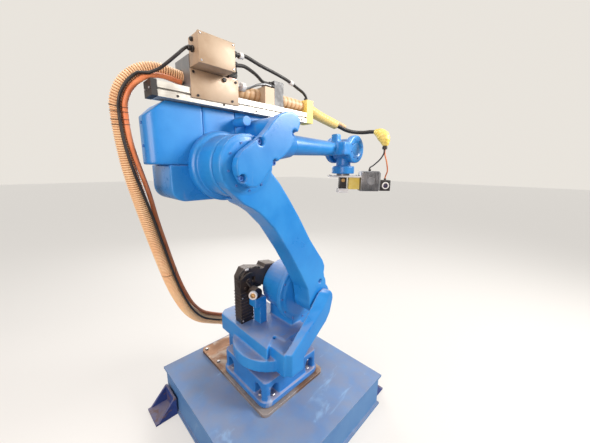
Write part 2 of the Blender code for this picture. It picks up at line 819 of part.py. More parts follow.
def arm_outline():
    """The side view: round foot and eye, a hollow rear edge and a full front edge."""
    across = Vector((ARM_RISE, 0.0, -ARM_REACH)).normalized()
    along = Vector((ARM_REACH, 0.0, ARM_RISE))

    def place(along_share, across_share):
        spot = SHOULDER + along * along_share + across * (across_share * along.length)
        return (spot.x, spot.z)

    front = [place(*shares) for shares in ARM_FRONT_SHARES]
    rear = [place(*shares) for shares in ARM_REAR_SHARES]
    foot = arc((SHOULDER.x, SHOULDER.z), ARM_FOOT_RADIUS, 172, 405, ARC_STEPS * 2)
    eye = arc((ELBOW.x, ELBOW.z), ARM_EYE_RADIUS, -6, 235, ARC_STEPS * 2)
    return foot + front + eye + rear


def build_lower_arm():
    arm = extruded("arm", arm_outline(), ARM_FRONT, ARM_BACK)
    soften(arm, ARM_EDGE)
    room = cylinder(
        "room", Vector((ELBOW.x, ARM_EYE_BACK, ELBOW.z)), "Y", ARM_THICKNESS, ELBOW_DRUM_RADIUS + RUNNING_GAP
    )
    pocket_place = Vector((SHOULDER.x, ARM_FRONT - OVERRUN, SHOULDER.z + ARM_POCKET_RISE))
    pocket = cylinder(
        "pocket", pocket_place, "Y", ARM_POCKET_DEPTH + OVERRUN, ARM_POCKET_RADIUS, SMALL_STEPS
    )
    cut(arm, room, pocket)
    ring = cylinder(
        "ring", Vector((ELBOW.x, RING_FACE, ELBOW.z)), "Y", ARM_RING_WIDTH + ARM_EDGE, ARM_RING_RADIUS
    )
    journal = cylinder(
        "journal", Vector((SHOULDER.x, STRAP_BACK + CLEARANCE, SHOULDER.z)), "Y",
        DRUM_FACE - STRAP_BACK - CLEARANCE * 2, JOURNAL_RADIUS, SMALL_STEPS,
    )
    joined(arm, ring, journal)
    add_part(arm, "lower_arm", PAINT, SHOULDER_AXIS)


# Upper arm

def build_link():
    centre = (ELBOW.x, ELBOW.z)
    link = extruded("link", spread(LINK_SHARES, LINK_SPAN, centre), STRAP_FACE, STRAP_FACE + LINK_THICKNESS)
    pockets = [
        cylinder(
            "pocket", Vector((across, STRAP_FACE - OVERRUN, up)), "Y",
            LINK_POCKET_DEPTH + OVERRUN, LINK_POCKET_RADIUS, SMALL_STEPS,
        )
        for across, up in spread(LINK_POCKET_SHARES, LINK_SPAN, centre)
    ]
    cut(link, *pockets)
    inside = STRAP_FACE + LINK_THICKNESS / 2
    journal = cylinder(
        "journal", Vector((ELBOW.x, inside, ELBOW.z)), "Y", RING_FACE - CLEARANCE - inside, JOURNAL_RADIUS,
        SMALL_STEPS,
    )
    bridge_place = spread([BRIDGE_SHARE], LINK_SPAN, centre)[0]
    bridge = cylinder(
        "bridge", Vector((bridge_place[0], inside, bridge_place[1])), "Y",
        CASING_FACE - CLEARANCE - inside, BRIDGE_RADIUS,
    )
    joined(link, journal, bridge)
    add_part(link, "link_plate", PAINT, ELBOW_AXIS)


def build_elbow_drum():
    eye = ARM_EYE_BACK
    front = eye + RUNNING_GAP
    rear = CASING_FACE - CLEARANCE
    step = rear - ELBOW_FLANGE_WIDTH
    profile = [
        (0.0, eye + CLEARANCE), (ELBOW_JOURNAL_RADIUS, eye + CLEARANCE), (ELBOW_JOURNAL_RADIUS, front),
        (ELBOW_DRUM_RADIUS - ELBOW_GROOVE, front), (ELBOW_DRUM_RADIUS, front + ELBOW_GROOVE),
        (ELBOW_DRUM_RADIUS, step - ELBOW_CHAMFER),
        (ELBOW_FLANGE_RADIUS - ELBOW_CHAMFER, step - ELBOW_CHAMFER),
        (ELBOW_FLANGE_RADIUS, step), (ELBOW_FLANGE_RADIUS, rear), (0.0, rear),
    ]
    drum = turned("drum", profile, Vector((ELBOW.x, 0.0, ELBOW.z)), "Y")
    add_part(drum, "elbow_drum", PAINT, ELBOW_AXIS)


def casing_plan():
    """The rear casing seen from above: a flat near side, a round rear corner and a slanted far side."""
    rear = ELBOW.x - CASING_REAR
    seam = ELBOW.x - CASING_SEAM - CLEARANCE
    corner = (rear + CASING_CORNER, CASING_FACE + CASING_CORNER)
    far = CASING_FACE + CASING_WIDTH
    return [(seam, CASING_FACE)] + [(seam, far), (rear + CASING_SLANT, far)] + [
        (rear, CASING_FACE + CASING_NOSE)
    ] + arc(corner, CASING_CORNER, 180, 270)


def build_casing():
    low = ELBOW.z + CASING_BOTTOM
    rear = extruded("rear", casing_plan(), low, CASING_TOP, "Z")
    add_part(soften(rear, CASING_EDGE, 3), "rear_casing", PAINT, ELBOW_AXIS)
    seam = ELBOW.x - CASING_SEAM
    front_end = ELBOW.x + CASING_FRONT
    far = CASING_FACE + CASING_WIDTH
    front = box("front", (seam, CASING_FACE, low), (front_end, far, CASING_TOP))
    add_part(soften(front, SEAM_EDGE), "middle_casing", PAINT, ELBOW_AXIS)
    pod_rear = ELBOW.x - POD_REAR
    pod_low = low - POD_DROP
    pod_outline = [(ELBOW.x + POD_FRONT, low - CLEARANCE), (pod_rear, low - CLEARANCE)]
    pod_outline += arc((pod_rear + POD_CORNER, pod_low + POD_CORNER), POD_CORNER, 180, 270)
    pod_outline += [(ELBOW.x + POD_FRONT, pod_low)]
    pod = extruded("pod", pod_outline, CASING_FACE, CASING_FACE + POD_WIDTH)
    add_part(pod, "elbow_motor_cover", PAINT, ELBOW_AXIS)
    gland_place = Vector((front_end + GLAND_FORWARD, CASING_FACE - CLEARANCE, CASING_TOP - GLAND_DROP))
    gland = cylinder(
        "gland", gland_place - Vector((0.0, GLAND_LENGTH, 0.0)), "Y", GLAND_LENGTH, GLAND_RADIUS,
        SMALL_STEPS,
    )
    add_part(gland, "casing_gland", PAINT, ELBOW_AXIS)


def build_head():
    low = FOREARM.z - HEAD_HEIGHT / 2
    head = box(
        "head", (HEAD_START, CASING_FACE, low), (HEAD_START + HEAD_LENGTH, HEAD_WIDTH / 2, low + HEAD_HEIGHT)
    )
    add_part(soften(head, HEAD_EDGE), "forearm_head", PAINT, ELBOW_AXIS)
    nose = cone(
        "nose", Vector((NOSE_START, 0.0, FOREARM.z)), "X", NOSE_LENGTH, NOSE_ROOT_RADIUS, NOSE_TIP_RADIUS
    )
    add_part(nose, "forearm_nose", PAINT, ELBOW_AXIS)


# Forearm and wrist

def build_forearm():
    length = WRIST.x - WRIST_RADIUS - RUNNING_GAP * 2 - FOREARM_START
    tube_body = cone(
        "tube", Vector((FOREARM_START, 0.0, FOREARM.z)), "X", length, FOREARM_ROOT_RADIUS, FOREARM_TIP_RADIUS
    )
    inner = WRIST_BODY_WIDTH / 2 + RUNNING_GAP
    outer = inner + FORK_THICKNESS
    root_end = FOREARM_START + length
    root = root_end - FORK_ROOT
    low = WRIST.z - FORK_HALF_HEIGHT
    high = WRIST.z + FORK_HALF_HEIGHT
    near = box("fork", (root, -outer, low), (WRIST.x, -inner, high))
    far = box("fork", (root, inner, low), (WRIST.x, outer, high))
    cross = box("cross", (root, -outer, low), (root_end, outer, high))
    near_disc = cylinder("disc", Vector((WRIST.x, -outer, WRIST.z)), "Y", FORK_THICKNESS, FORK_DISC_RADIUS)
    far_disc = cylinder("disc", Vector((WRIST.x, inner, WRIST.z)), "Y", FORK_THICKNESS, FORK_DISC_RADIUS)
    block_start = WRIST.x - FOREARM_BLOCK_PLACE
    block = box(
        "block", (block_start - FOREARM_BLOCK_LENGTH, -FOREARM_BLOCK_WIDTH, FOREARM.z),
        (block_start, 0.0, FOREARM.z + FOREARM_BLOCK_RISE),
    )
    joined(tube_body, near, far, cross, near_disc, far_disc, block)
    recess = cylinder(
        "recess", Vector((WRIST.x, -outer - OVERRUN, WRIST.z)), "Y", OVERRUN + FORK_RECESS_DEPTH,
        FORK_RECESS_RADIUS,
    )
    cut(tube_body, recess)
    add_part(tube_body, "forearm_tube", PAINT, FOREARM_AXIS)


def build_wrist():
    half = WRIST_BODY_WIDTH / 2
    barrel = cylinder("barrel", Vector((WRIST.x, -half, WRIST.z)), "Y", WRIST_BODY_WIDTH, WRIST_RADIUS)
    pin_reach = half + RUNNING_GAP - CLEARANCE
    pin = cylinder(
        "pin", Vector((WRIST.x, -pin_reach, WRIST.z)), "Y", pin_reach * 2, JOURNAL_RADIUS, SMALL_STEPS
    )
    low = FLANGE.z + FLANGE_THICKNESS + CLEARANCE
    neck = cylinder("neck", Vector((WRIST.x, 0.0, low)), "Z", WRIST.z - low, WRIST_NECK_RADIUS)
    collar = cylinder("collar", Vector((WRIST.x, 0.0, low)), "Z", WRIST_COLLAR_WIDTH, WRIST_COLLAR_RADIUS)
    joined(barrel, pin, neck, collar)
    add_part(barrel, "wrist_body", PAINT, WRIST_AXIS)


def tool_box(low, high):
    """A box in the tool's own axes: along the tool plate, across it, and up from the flange face."""
    made = box("tool", low, high)
    made.matrix_basis = TOOL_PLACE @ made.matrix_basis
    return made


TOOL_PLACE = Matrix.Translation(FLANGE) @ Matrix.Rotation(math.radians(TOOL_TURN), 4, "Z")


def build_tool():
    flange = cylinder("flange", FLANGE, "Z", FLANGE_THICKNESS, FLANGE_RADIUS)
    add_part(flange, "tool_flange", GREY_METAL, TOOL_AXIS)
    half = TOOL_PLATE_WIDTH / 2
    front = TOOL_PLATE_LENGTH - TOOL_PLATE_REAR
    plate_low = -CLEARANCE - TOOL_PLATE_THICKNESS
    plate = tool_box((-TOOL_PLATE_REAR, -half, plate_low), (front, half, -CLEARANCE))
    add_part(plate, "tool_plate", WHITE_PAINT, TOOL_AXIS)
    top = plate_low - CLEARANCE
    half = TOOL_BLOCK_WIDTH / 2
    block = tool_box((-half, -half, top - TOOL_BLOCK_HEIGHT), (half, half, top))
    add_part(block, "tool_block", BLACK_PLASTIC, TOOL_AXIS)
    foot_top = top - TOOL_BLOCK_HEIGHT - CLEARANCE
    foot = tool_box(
        (-half - TOOL_FOOT_LIP, -half - TOOL_FOOT_LIP, foot_top - TOOL_FOOT_HEIGHT),
        (half + TOOL_FOOT_LIP, half + TOOL_FOOT_LIP, foot_top),
    )
    add_part(foot, "tool_foot", WHITE_PAINT, TOOL_AXIS)
    sensor_start = half + TOOL_FOOT_LIP + TOOL_GAP
    sensor = tool_box(
        (sensor_start, -half, top - SENSOR_HEIGHT), (front - TOOL_GAP, half, top)
    )
    add_part(sensor, "tool_sensor_box", YELLOW_TAPE, TOOL_AXIS)
    motor_end = front + CLEARANCE + TOOL_MOTOR_LENGTH
    motor_half = TOOL_MOTOR_WIDTH / 2
    motor = tool_box(
        (front + CLEARANCE, -motor_half, -TOOL_MOTOR_DROP),
        (motor_end, motor_half, TOOL_MOTOR_HEIGHT - TOOL_MOTOR_DROP),
    )
    add_part(motor, "tool_motor", GREY_METAL, TOOL_AXIS)
    lens_half = TOOL_LENS_WIDTH / 2
    lens = tool_box(
        (motor_end + CLEARANCE, -lens_half, -TOOL_MOTOR_DROP),
        (motor_end + CLEARANCE + TOOL_LENS_LENGTH, lens_half, TOOL_LENS_WIDTH - TOOL_MOTOR_DROP),
    )
    add_part(lens, "tool_camera", BLACK_PLASTIC, TOOL_AXIS)


# Rail and carriage

def rail_box(name, start, end, back, rise):
    """A box that stands on the rail's top, from the plate's back to a place behind it."""
    return box(name, (start, PLATE_BACK + CLEARANCE, RAIL_TOP + CLEARANCE), (end, back, RAIL_TOP + rise))


def build_rail():
    back = RAIL_FACE + RAIL_WIDTH
    rail = box("rail", (RAIL_START, RAIL_FACE, RAIL_LOW), (RAIL_END, back, RAIL_TOP))
    add_part(rail, "hose_rail", BARE_ALUMINIUM, ELBOW_AXIS)
    cap_end = RAIL_START - CLEARANCE
    cap = box(
        "cap", (cap_end - RAIL_CAP, RAIL_FACE - RAIL_CAP_LIP, RAIL_LOW),
        (cap_end, back + RAIL_CAP_LIP, RAIL_TOP + RAIL_CAP_LIP),
    )
    add_part(cap, "rail_end_cap", BLACK_PLASTIC, ELBOW_AXIS)
    guide_start = RAIL_END + CLEARANCE
    guide = box(
        "guide", (guide_start, RAIL_FACE, RAIL_LOW), (guide_start + GUIDE_LENGTH, back, RAIL_TOP + GUIDE_RISE)
    )
    add_part(cut(guide, taped_bore()), "rail_hose_guide", YELLOW_TAPE, ELBOW_AXIS)


def taped_bore():
    return as_mesh(tube("bore", TAPED_HOSE_ROUTE, TAPED_RADIUS + CLEARANCE))


def build_carriage():
    front = PLATE_BACK - PLATE_THICKNESS
    plate_end = PLATE_START + PLATE_LENGTH
    box_low = PLATE_LOW + PLATE_HEIGHT + CLEARANCE
    plate = box("plate", (PLATE_START, front, PLATE_LOW), (plate_end, PLATE_BACK, box_low - CLEARANCE))
    add_part(plate, "carriage_plate", SAND_SHEET, ELBOW_AXIS)
    block = rail_box(
        "block", PLATE_START, PLATE_START + CARRIAGE_LENGTH, PLATE_BACK + CARRIAGE_WIDTH, CARRIAGE_RISE
    )
    hose_bore = as_mesh(tube("bore", CORRUGATED_HOSE_ROUTE, HOSE_RADIUS + CLEARANCE))
    add_part(cut(block, hose_bore, taped_bore()), "carriage_block", GREY_METAL, ELBOW_AXIS)
    control = box(
        "control", (PLATE_START, PLATE_BACK - BOX_DEPTH, box_low),
        (PLATE_START + BOX_LENGTH, PLATE_BACK, box_low + BOX_HEIGHT),
    )
    add_part(control, "control_box", SAND_SHEET, ELBOW_AXIS)
    valve_low = RAIL_TOP + VALVE_LIFT
    valve = box(
        "valve", (plate_end - VALVE_LENGTH, PLATE_BACK + CLEARANCE, valve_low),
        (plate_end, PLATE_BACK + VALVE_DEPTH, valve_low + VALVE_HEIGHT),
    )
    add_part(valve, "valve_block", BLACK_PLASTIC, ELBOW_AXIS)
    place = Vector((plate_end + CLEARANCE, PLATE_BACK + GAUGE_PLACE, RAIL_TOP + GAUGE_RISE))
    stem = cylinder("stem", place, "X", GAUGE_STEM_LENGTH + GAUGE_LENGTH, GAUGE_STEM_RADIUS, SMALL_STEPS)
    dial_place = place + Vector((GAUGE_STEM_LENGTH, 0.0, 0.0))
    dial = cylinder("dial", dial_place, "X", GAUGE_LENGTH, GAUGE_RADIUS, SMALL_STEPS)
    add_part(joined(dial, stem), "pressure_gauge", BARE_ALUMINIUM, ELBOW_AXIS)


def build_clamp():
    back = PLATE_BACK + CLAMP_WIDTH
    clamp = rail_box("clamp", CLAMP_X, CLAMP_X + CLAMP_LENGTH, back, CLAMP_RISE)
    add_part(cut(clamp, taped_bore()), "hose_clamp", BARE_ALUMINIUM, ELBOW_AXIS)
    manifold = rail_box("manifold", MANIFOLD_X, MANIFOLD_X + MANIFOLD_LENGTH, back, MANIFOLD_RISE)
    add_part(cut(manifold, taped_bore()), "air_manifold", GREY_METAL, ELBOW_AXIS)


# Hoses and cables, on their routes at rest

CORRUGATED_HOSE = (
    (-0.410, 0.030, 1.951), (-0.460, 0.030, 1.951), (-0.533, 0.030, 1.960), (-0.590, 0.036, 1.950),
    (-0.636, 0.043, 1.920), (-0.667, 0.052, 1.883), (-0.685, 0.065, 1.838), (-0.687, 0.080, 1.790),
    (-0.681, 0.091, 1.682), (-0.665, 0.101, 1.560), (-0.637, 0.116, 1.431), (-0.586, 0.150, 1.230),
    (-0.513, 0.210, 0.980), (-0.450, 0.260, 0.820), (-0.382, 0.320, 0.695), (-0.292, 0.390, 0.583),
    (-0.175, 0.450, 0.490), (-0.095, 0.470, 0.440), (-0.040, 0.465, 0.392), (-0.015, 0.435, 0.360),
    (-0.010, 0.395, 0.350), (-0.010, 0.360, 0.350), (-0.010, 0.3258, 0.350),
)
TAPED_HOSE = (
    (-0.4096, 0.030, 1.951), (-0.340, 0.030, 1.951), (-0.200, 0.024, 1.947), (0.050, 0.000, 1.945),
    (0.290, -0.010, 1.935), (0.422, -0.005, 1.909), (0.551, 0.000, 1.887), (0.610, 0.000, 1.877),
)
WRIST_HOSE = (
    (0.6108, 0.000, 1.8769), (0.668, -0.002, 1.866), (0.740, -0.005, 1.852), (0.800, -0.030, 1.842),
    (0.845, -0.085, 1.838), (0.850, -0.150, 1.838), (0.845, -0.210, 1.828), (0.842, -0.255, 1.800),
    (0.842, -0.270, 1.750), (0.842, -0.270, 1.710),
)
TOOL_CABLE = (
    (0.849, -0.270, 1.7097), (0.849, -0.270, 1.680), (0.868, -0.280, 1.620), (0.910, -0.270, 1.560),
    (0.952, -0.240, 1.525), (0.9605, -0.2305, 1.505), (0.9605, -0.2305, 1.4904),
)
MOTOR_CABLE = (
    (0.835, -0.270, 1.7097), (0.835, -0.270, 1.680), (0.835, -0.245, 1.640), (0.850, -0.190, 1.600),
    (0.875, -0.145, 1.580), (0.875, -0.145, 1.5554),
)
SIGNAL_CABLE = (
    (-0.4505, -0.105, 2.025), (-0.475, -0.105, 2.025), (-0.515, -0.100, 1.987), (-0.540, -0.080, 1.962),
    (-0.560, -0.042, 1.944), (-0.588, -0.012, 1.930),
)
AIR_HOSE_UPPER = (
    (-0.2897, -0.120, 2.051), (-0.265, -0.120, 2.051), (-0.207, -0.105, 2.063), (-0.108, -0.085, 2.056),
    (0.003, -0.075, 2.046), (0.098, -0.065, 2.034), (0.187, -0.045, 2.020), (0.245, -0.030, 2.012),
    (0.272, -0.030, 1.992), (0.272, -0.030, 1.9706),
)
AIR_HOSE_LOWER = (
    (-0.2897, -0.120, 2.010), (-0.265, -0.120, 2.010), (-0.208, -0.100, 2.022), (-0.120, -0.060, 2.020),
    (-0.060, -0.035, 2.006), (-0.030, -0.035, 2.004), (-0.0008, -0.035, 2.004),
)
GAUGE_HOSE = (
    (-0.1704, -0.035, 1.957), (-0.150, -0.035, 1.957), (-0.105, -0.048, 1.978), (-0.060, -0.052, 1.990),
    (-0.030, -0.052, 1.990), (-0.0008, -0.052, 1.990),
)
SIGNAL_SIDE = (0.0, -0.99, -0.16)
ORANGE_SIDE = (0.0, -0.74, -0.67)
SIGNAL_JOINS = 3
CABLE_STEP = 5
HOSE_STEP = 2
CORRUGATED_HOSE_ROUTE = smooth_route(CORRUGATED_HOSE, HOSE_RADIUS * HOSE_STEP)
TAPED_HOSE_ROUTE = smooth_route(TAPED_HOSE, TAPED_RADIUS * HOSE_STEP)


def square_to(away, start, end):
    """The direction turned until it is square to the line from start to end."""
    tangent = (end - start).normalized()
    return (away - tangent * away.dot(tangent)).normalized()


def beside(route, side, radius):
    """The route of a cable that is strapped to one side of the hose, from the hose's own route."""
    offset = HOSE_RADIUS + radius + STRAPPED_GAP
    sides = [square_to(Vector(side), route[0], route[1])]
    for before, after in zip(route, route[2:]):
        sides.append(square_to(sides[-1], before, after))
    last = square_to(sides[-1], route[-2], route[-1])
    sides = [sides[0], sides[0]] + sides[2:-1] + [last, last]
    return [place + away * offset for place, away in zip(route, sides)]


def build_strapped_cables():
    rear = PLATE_START - CLEARANCE
    route = [place for place in CORRUGATED_HOSE_ROUTE if place.x < rear or place.z < ELBOW.z]
    start = Vector((rear, route[0].y, route[0].z))
    orange = beside([start] + route, ORANGE_SIDE, ORANGE_RADIUS)
    cable = tube("cable", smooth_route(orange, ORANGE_RADIUS * CABLE_STEP), ORANGE_RADIUS)
    add_part(cable, "orange_cable", ORANGE_HOSE, SHOULDER_AXIS)
    signal = list(SIGNAL_CABLE) + beside(route, SIGNAL_SIDE, SIGNAL_RADIUS)[SIGNAL_JOINS:]
    cable = tube("cable", smooth_route(signal, ORANGE_RADIUS * CABLE_STEP), SIGNAL_RADIUS)
    add_part(cable, "signal_cable", BLACK_PLASTIC, SHOULDER_AXIS)


def build_hoses():
    hose = tube("hose", CORRUGATED_HOSE_ROUTE, HOSE_RADIUS)
    add_part(hose, "corrugated_hose", ORANGE_HOSE, SHOULDER_AXIS)
    taped = tube("taped", TAPED_HOSE_ROUTE, TAPED_RADIUS)
    add_part(taped, "taped_hose", YELLOW_TAPE, ELBOW_AXIS)
    for name, points, radius, material, body in (
        ("wrist_hose", WRIST_HOSE, WRIST_HOSE_RADIUS, BLACK_PLASTIC, FOREARM_AXIS),
        ("tool_cable", TOOL_CABLE, TOOL_CABLE_RADIUS, ORANGE_HOSE, TOOL_AXIS),
        ("motor_cable", MOTOR_CABLE, TOOL_CABLE_RADIUS, BLACK_PLASTIC, TOOL_AXIS),
        ("air_hose_upper", AIR_HOSE_UPPER, AIR_HOSE_RADIUS, BLACK_PLASTIC, ELBOW_AXIS),
        ("air_hose_lower", AIR_HOSE_LOWER, AIR_HOSE_RADIUS, BLACK_PLASTIC, ELBOW_AXIS),
        ("gauge_hose", GAUGE_HOSE, GAUGE_HOSE_RADIUS, GREY_METAL, ELBOW_AXIS),
    ):
        cable = tube(name, smooth_route(points, radius * CABLE_STEP), radius)
        add_part(cable, name, material, body)


build_plinth()
build_anchors()
build_sole_plate()
build_base()
build_socket_box()
build_turret()
build_motors()
build_lower_arm()
build_link()
build_elbow_drum()
build_casing()
build_head()
build_forearm()
build_wrist()
build_tool()
build_rail()
build_carriage()
build_clamp()
build_strapped_cables()
build_hoses()
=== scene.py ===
# %% [markdown]
# # An industrial robot arm on its plinth, dressed for a render
#
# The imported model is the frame. Each cell adds one thing to it: a camera, the light, the finishes, then the
# castings, the hoses and the small hardware. Every length is in metres, in the model's own frame.

# %% Load the frame
import json
import math

import bmesh
import bpy
from mathutils import Matrix, Vector
from mathutils.geometry import convex_hull_2d

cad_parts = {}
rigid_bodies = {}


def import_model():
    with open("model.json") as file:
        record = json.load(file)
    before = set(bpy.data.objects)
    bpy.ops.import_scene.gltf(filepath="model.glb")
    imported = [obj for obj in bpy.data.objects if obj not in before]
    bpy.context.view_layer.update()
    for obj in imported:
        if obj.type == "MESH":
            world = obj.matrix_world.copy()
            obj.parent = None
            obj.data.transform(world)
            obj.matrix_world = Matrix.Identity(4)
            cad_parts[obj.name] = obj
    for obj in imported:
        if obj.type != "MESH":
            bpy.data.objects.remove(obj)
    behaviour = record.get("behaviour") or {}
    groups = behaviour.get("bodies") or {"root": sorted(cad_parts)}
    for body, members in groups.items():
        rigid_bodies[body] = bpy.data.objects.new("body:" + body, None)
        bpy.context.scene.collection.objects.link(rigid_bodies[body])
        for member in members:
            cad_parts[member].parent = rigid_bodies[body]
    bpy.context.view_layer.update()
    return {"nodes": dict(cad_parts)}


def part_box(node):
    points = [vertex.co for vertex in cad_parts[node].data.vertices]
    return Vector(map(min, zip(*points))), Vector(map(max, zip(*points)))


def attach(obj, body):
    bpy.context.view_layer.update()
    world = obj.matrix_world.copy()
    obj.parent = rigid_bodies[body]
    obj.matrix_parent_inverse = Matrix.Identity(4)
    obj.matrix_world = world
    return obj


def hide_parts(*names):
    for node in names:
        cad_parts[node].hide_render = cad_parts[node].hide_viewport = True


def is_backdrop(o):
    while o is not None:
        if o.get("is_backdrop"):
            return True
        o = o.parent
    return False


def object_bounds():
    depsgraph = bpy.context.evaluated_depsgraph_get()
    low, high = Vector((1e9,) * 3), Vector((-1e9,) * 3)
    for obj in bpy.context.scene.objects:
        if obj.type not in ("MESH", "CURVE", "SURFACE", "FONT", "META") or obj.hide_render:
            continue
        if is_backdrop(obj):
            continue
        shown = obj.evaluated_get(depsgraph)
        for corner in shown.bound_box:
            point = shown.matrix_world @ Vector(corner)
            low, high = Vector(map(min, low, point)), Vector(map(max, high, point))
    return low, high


for leftover in list(bpy.data.objects):
    bpy.data.objects.remove(leftover)
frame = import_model()

# %% [markdown]
# ## The camera
#
# The photograph was taken from the rear left of the arm with a wide lens, looking slightly down. You set the
# camera by its place, its heading, its tilt and a small roll.

# %% The camera
IMAGE_WIDTH = 590
FOCAL_PIXELS = 259.6
SENSOR_WIDTH = 36.0
NEAR_CLIP = 0.05
CAMERA_PLACE = (-0.955, -1.183, 1.58)
HEADING, TILT, ROLL = math.radians(45.24), math.radians(11.84), math.radians(0.49)


def linked(name, data):
    """A new object that holds the data, linked to the scene."""
    made = bpy.data.objects.new(name, data)
    bpy.context.scene.collection.objects.link(made)
    return made


forward = Vector((
    math.cos(HEADING) * math.cos(TILT), math.sin(HEADING) * math.cos(TILT), -math.sin(TILT),
))
level_right = Vector((math.sin(HEADING), -math.cos(HEADING), 0.0))
level_up = level_right.cross(forward)
right = math.cos(ROLL) * level_right + math.sin(ROLL) * level_up
up = math.cos(ROLL) * level_up - math.sin(ROLL) * level_right
lens = bpy.data.cameras.new("camera")
lens.sensor_width = SENSOR_WIDTH
lens.lens = FOCAL_PIXELS / IMAGE_WIDTH * SENSOR_WIDTH
lens.clip_start = NEAR_CLIP
camera = linked("camera", lens)
camera.matrix_world = (
    Matrix.Translation(CAMERA_PLACE) @ Matrix((right, up, -forward)).transposed().to_4x4()
)
bpy.context.scene.camera = camera
print("camera lens", round(lens.lens, 2), "mm")

# %% [markdown]
# ## Node groups that the finishes share
#
# A finish is a colour with three things laid over it: a soft mottle, wear and a painted highlight along the
# edges, and dust and a painted reflection on what faces up. Each of these is one node group, so all the
# finishes age in the same way.


# %% Node groups
def new_group(name, kind, inputs, output):
    """An empty node group with the given inputs, each a name and a kind, one output and its two end nodes."""
    tree = bpy.data.node_groups.new(name, kind + "NodeTree")
    for label, socket in inputs:
        tree.interface.new_socket(label, in_out="INPUT", socket_type="NodeSocket" + socket)
    tree.interface.new_socket(output[0], in_out="OUTPUT", socket_type="NodeSocket" + output[1])
    return tree, tree.nodes.new("NodeGroupInput"), tree.nodes.new("NodeGroupOutput")


def feed(tree, socket, value):
    """Fills an input: an output is linked to it, anything else becomes its value."""
    if isinstance(value, bpy.types.NodeSocket):
        tree.links.new(value, socket)
    else:
        socket.default_value = value


def put(tree, kind, **sockets):
    """Adds a node and fills the inputs that are named."""
    node = tree.nodes.new(kind)
    for label, value in sockets.items():
        for socket in node.inputs:
            if socket.identifier == label or socket.name == label.replace("_", " "):
                feed(tree, socket, value)
                break
    return node


def maths(tree, operation, first, second=0.0):
    """The result of one operation on two values."""
    node = tree.nodes.new("ShaderNodeMath")
    node.operation = operation
    feed(tree, node.inputs[0], first)
    feed(tree, node.inputs[1], second)
    return node.outputs[0]


def ranged(tree, value, low, high, to_low=0.0, to_high=1.0):
    """A value that runs from low to high, carried onto another range with a soft start and end."""
    node = put(tree, "ShaderNodeMapRange", Value=value)
    node.interpolation_type = "SMOOTHSTEP"
    for label, number in (("From Min", low), ("From Max", high), ("To Min", to_low), ("To Max", to_high)):
        feed(tree, node.inputs[label], number)
    return node.outputs["Result"]


def own_place(tree):
    """Where a point lies in the object's own frame."""
    return tree.nodes.new("ShaderNodeTexCoord").outputs["Object"]


print("node helpers ready")

# %% [markdown]
# Old paint isn't one colour, its edges are rubbed and dust lies on it. The mottle is a soft noise. The edge
# mask finds edges by comparing the true surface with a rounded one; what it lays on is rubbed paint and a
# painted highlight. The top mask finds faces that point up; what it lays on is dust and a painted reflection.

# %% Mottle, edge wear and highlight, dust and reflection
FACTOR = ("Fac", "Float")
BEVEL_SAMPLES = 4
MOTTLE_RANGE, EDGE_RANGE, CHIP_RANGE = (0.32, 0.68), (0.015, 0.16), (0.40, 0.62)
UPWARD_RANGE, HEIGHT_RANGE, PATCH_RANGE = (0.35, 0.98), (0.6, 1.7), (0.25, 0.7)
TOP_SHARE_HIGH_UP, TOP_SHARE_BETWEEN_PATCHES = 0.55, 0.45

mottle, given, result = new_group("Mottle", "Shader", (("Scale", "Float"),), FACTOR)
broad = put(
    mottle, "ShaderNodeTexNoise", Vector=own_place(mottle), Scale=given.outputs["Scale"], Detail=6.0,
    Roughness=0.6,
)
mottle.links.new(ranged(mottle, broad.outputs["Fac"], *MOTTLE_RANGE), result.inputs["Fac"])

# Edge mask: what it lays on is rubbed paint and also a painted highlight along the edges.
wear_and_highlight, given, result = new_group("EdgeWear", "Shader", (("Width", "Float"), ("Amount", "Float")), FACTOR)
rounded = put(wear_and_highlight, "ShaderNodeBevel", Radius=given.outputs["Width"])
rounded.samples = BEVEL_SAMPLES
facing = wear_and_highlight.nodes.new("ShaderNodeVectorMath")
facing.operation = "DOT_PRODUCT"
wear_and_highlight.links.new(rounded.outputs["Normal"], facing.inputs[0])
wear_and_highlight.links.new(wear_and_highlight.nodes.new("ShaderNodeNewGeometry").outputs["Normal"], facing.inputs[1])
edge = ranged(wear_and_highlight, maths(wear_and_highlight, "SUBTRACT", 1.0, facing.outputs["Value"]), *EDGE_RANGE)
chips = put(wear_and_highlight, "ShaderNodeTexNoise", Vector=own_place(wear_and_highlight), Scale=38.0, Detail=4.0, Roughness=0.7)
chipped = maths(wear_and_highlight, "MULTIPLY", edge, ranged(wear_and_highlight, chips.outputs["Fac"], *CHIP_RANGE))
wear_and_highlight.links.new(maths(wear_and_highlight, "MULTIPLY", chipped, given.outputs["Amount"]), result.inputs["Fac"])

# Top mask: what it lays on is dust and also a painted reflection on faces that point up.
dust_and_reflection, given, result = new_group("SettledDust", "Shader", (("Amount", "Float"),), FACTOR)
coordinates = dust_and_reflection.nodes.new("ShaderNodeTexCoord")
normal = put(dust_and_reflection, "ShaderNodeSeparateXYZ", Vector=coordinates.outputs["Normal"])
height = put(dust_and_reflection, "ShaderNodeSeparateXYZ", Vector=coordinates.outputs["Object"])
upward = ranged(dust_and_reflection, normal.outputs["Z"], *UPWARD_RANGE)
lower = ranged(dust_and_reflection, height.outputs["Z"], *HEIGHT_RANGE, 1.0, TOP_SHARE_HIGH_UP)
patches = put(dust_and_reflection, "ShaderNodeTexNoise", Vector=coordinates.outputs["Object"], Scale=11.0, Detail=5.0)
uneven = ranged(dust_and_reflection, patches.outputs["Fac"], *PATCH_RANGE, TOP_SHARE_BETWEEN_PATCHES, 1.0)
dust_and_reflection_share = maths(dust_and_reflection, "MULTIPLY", maths(dust_and_reflection, "MULTIPLY", upward, lower), uneven)
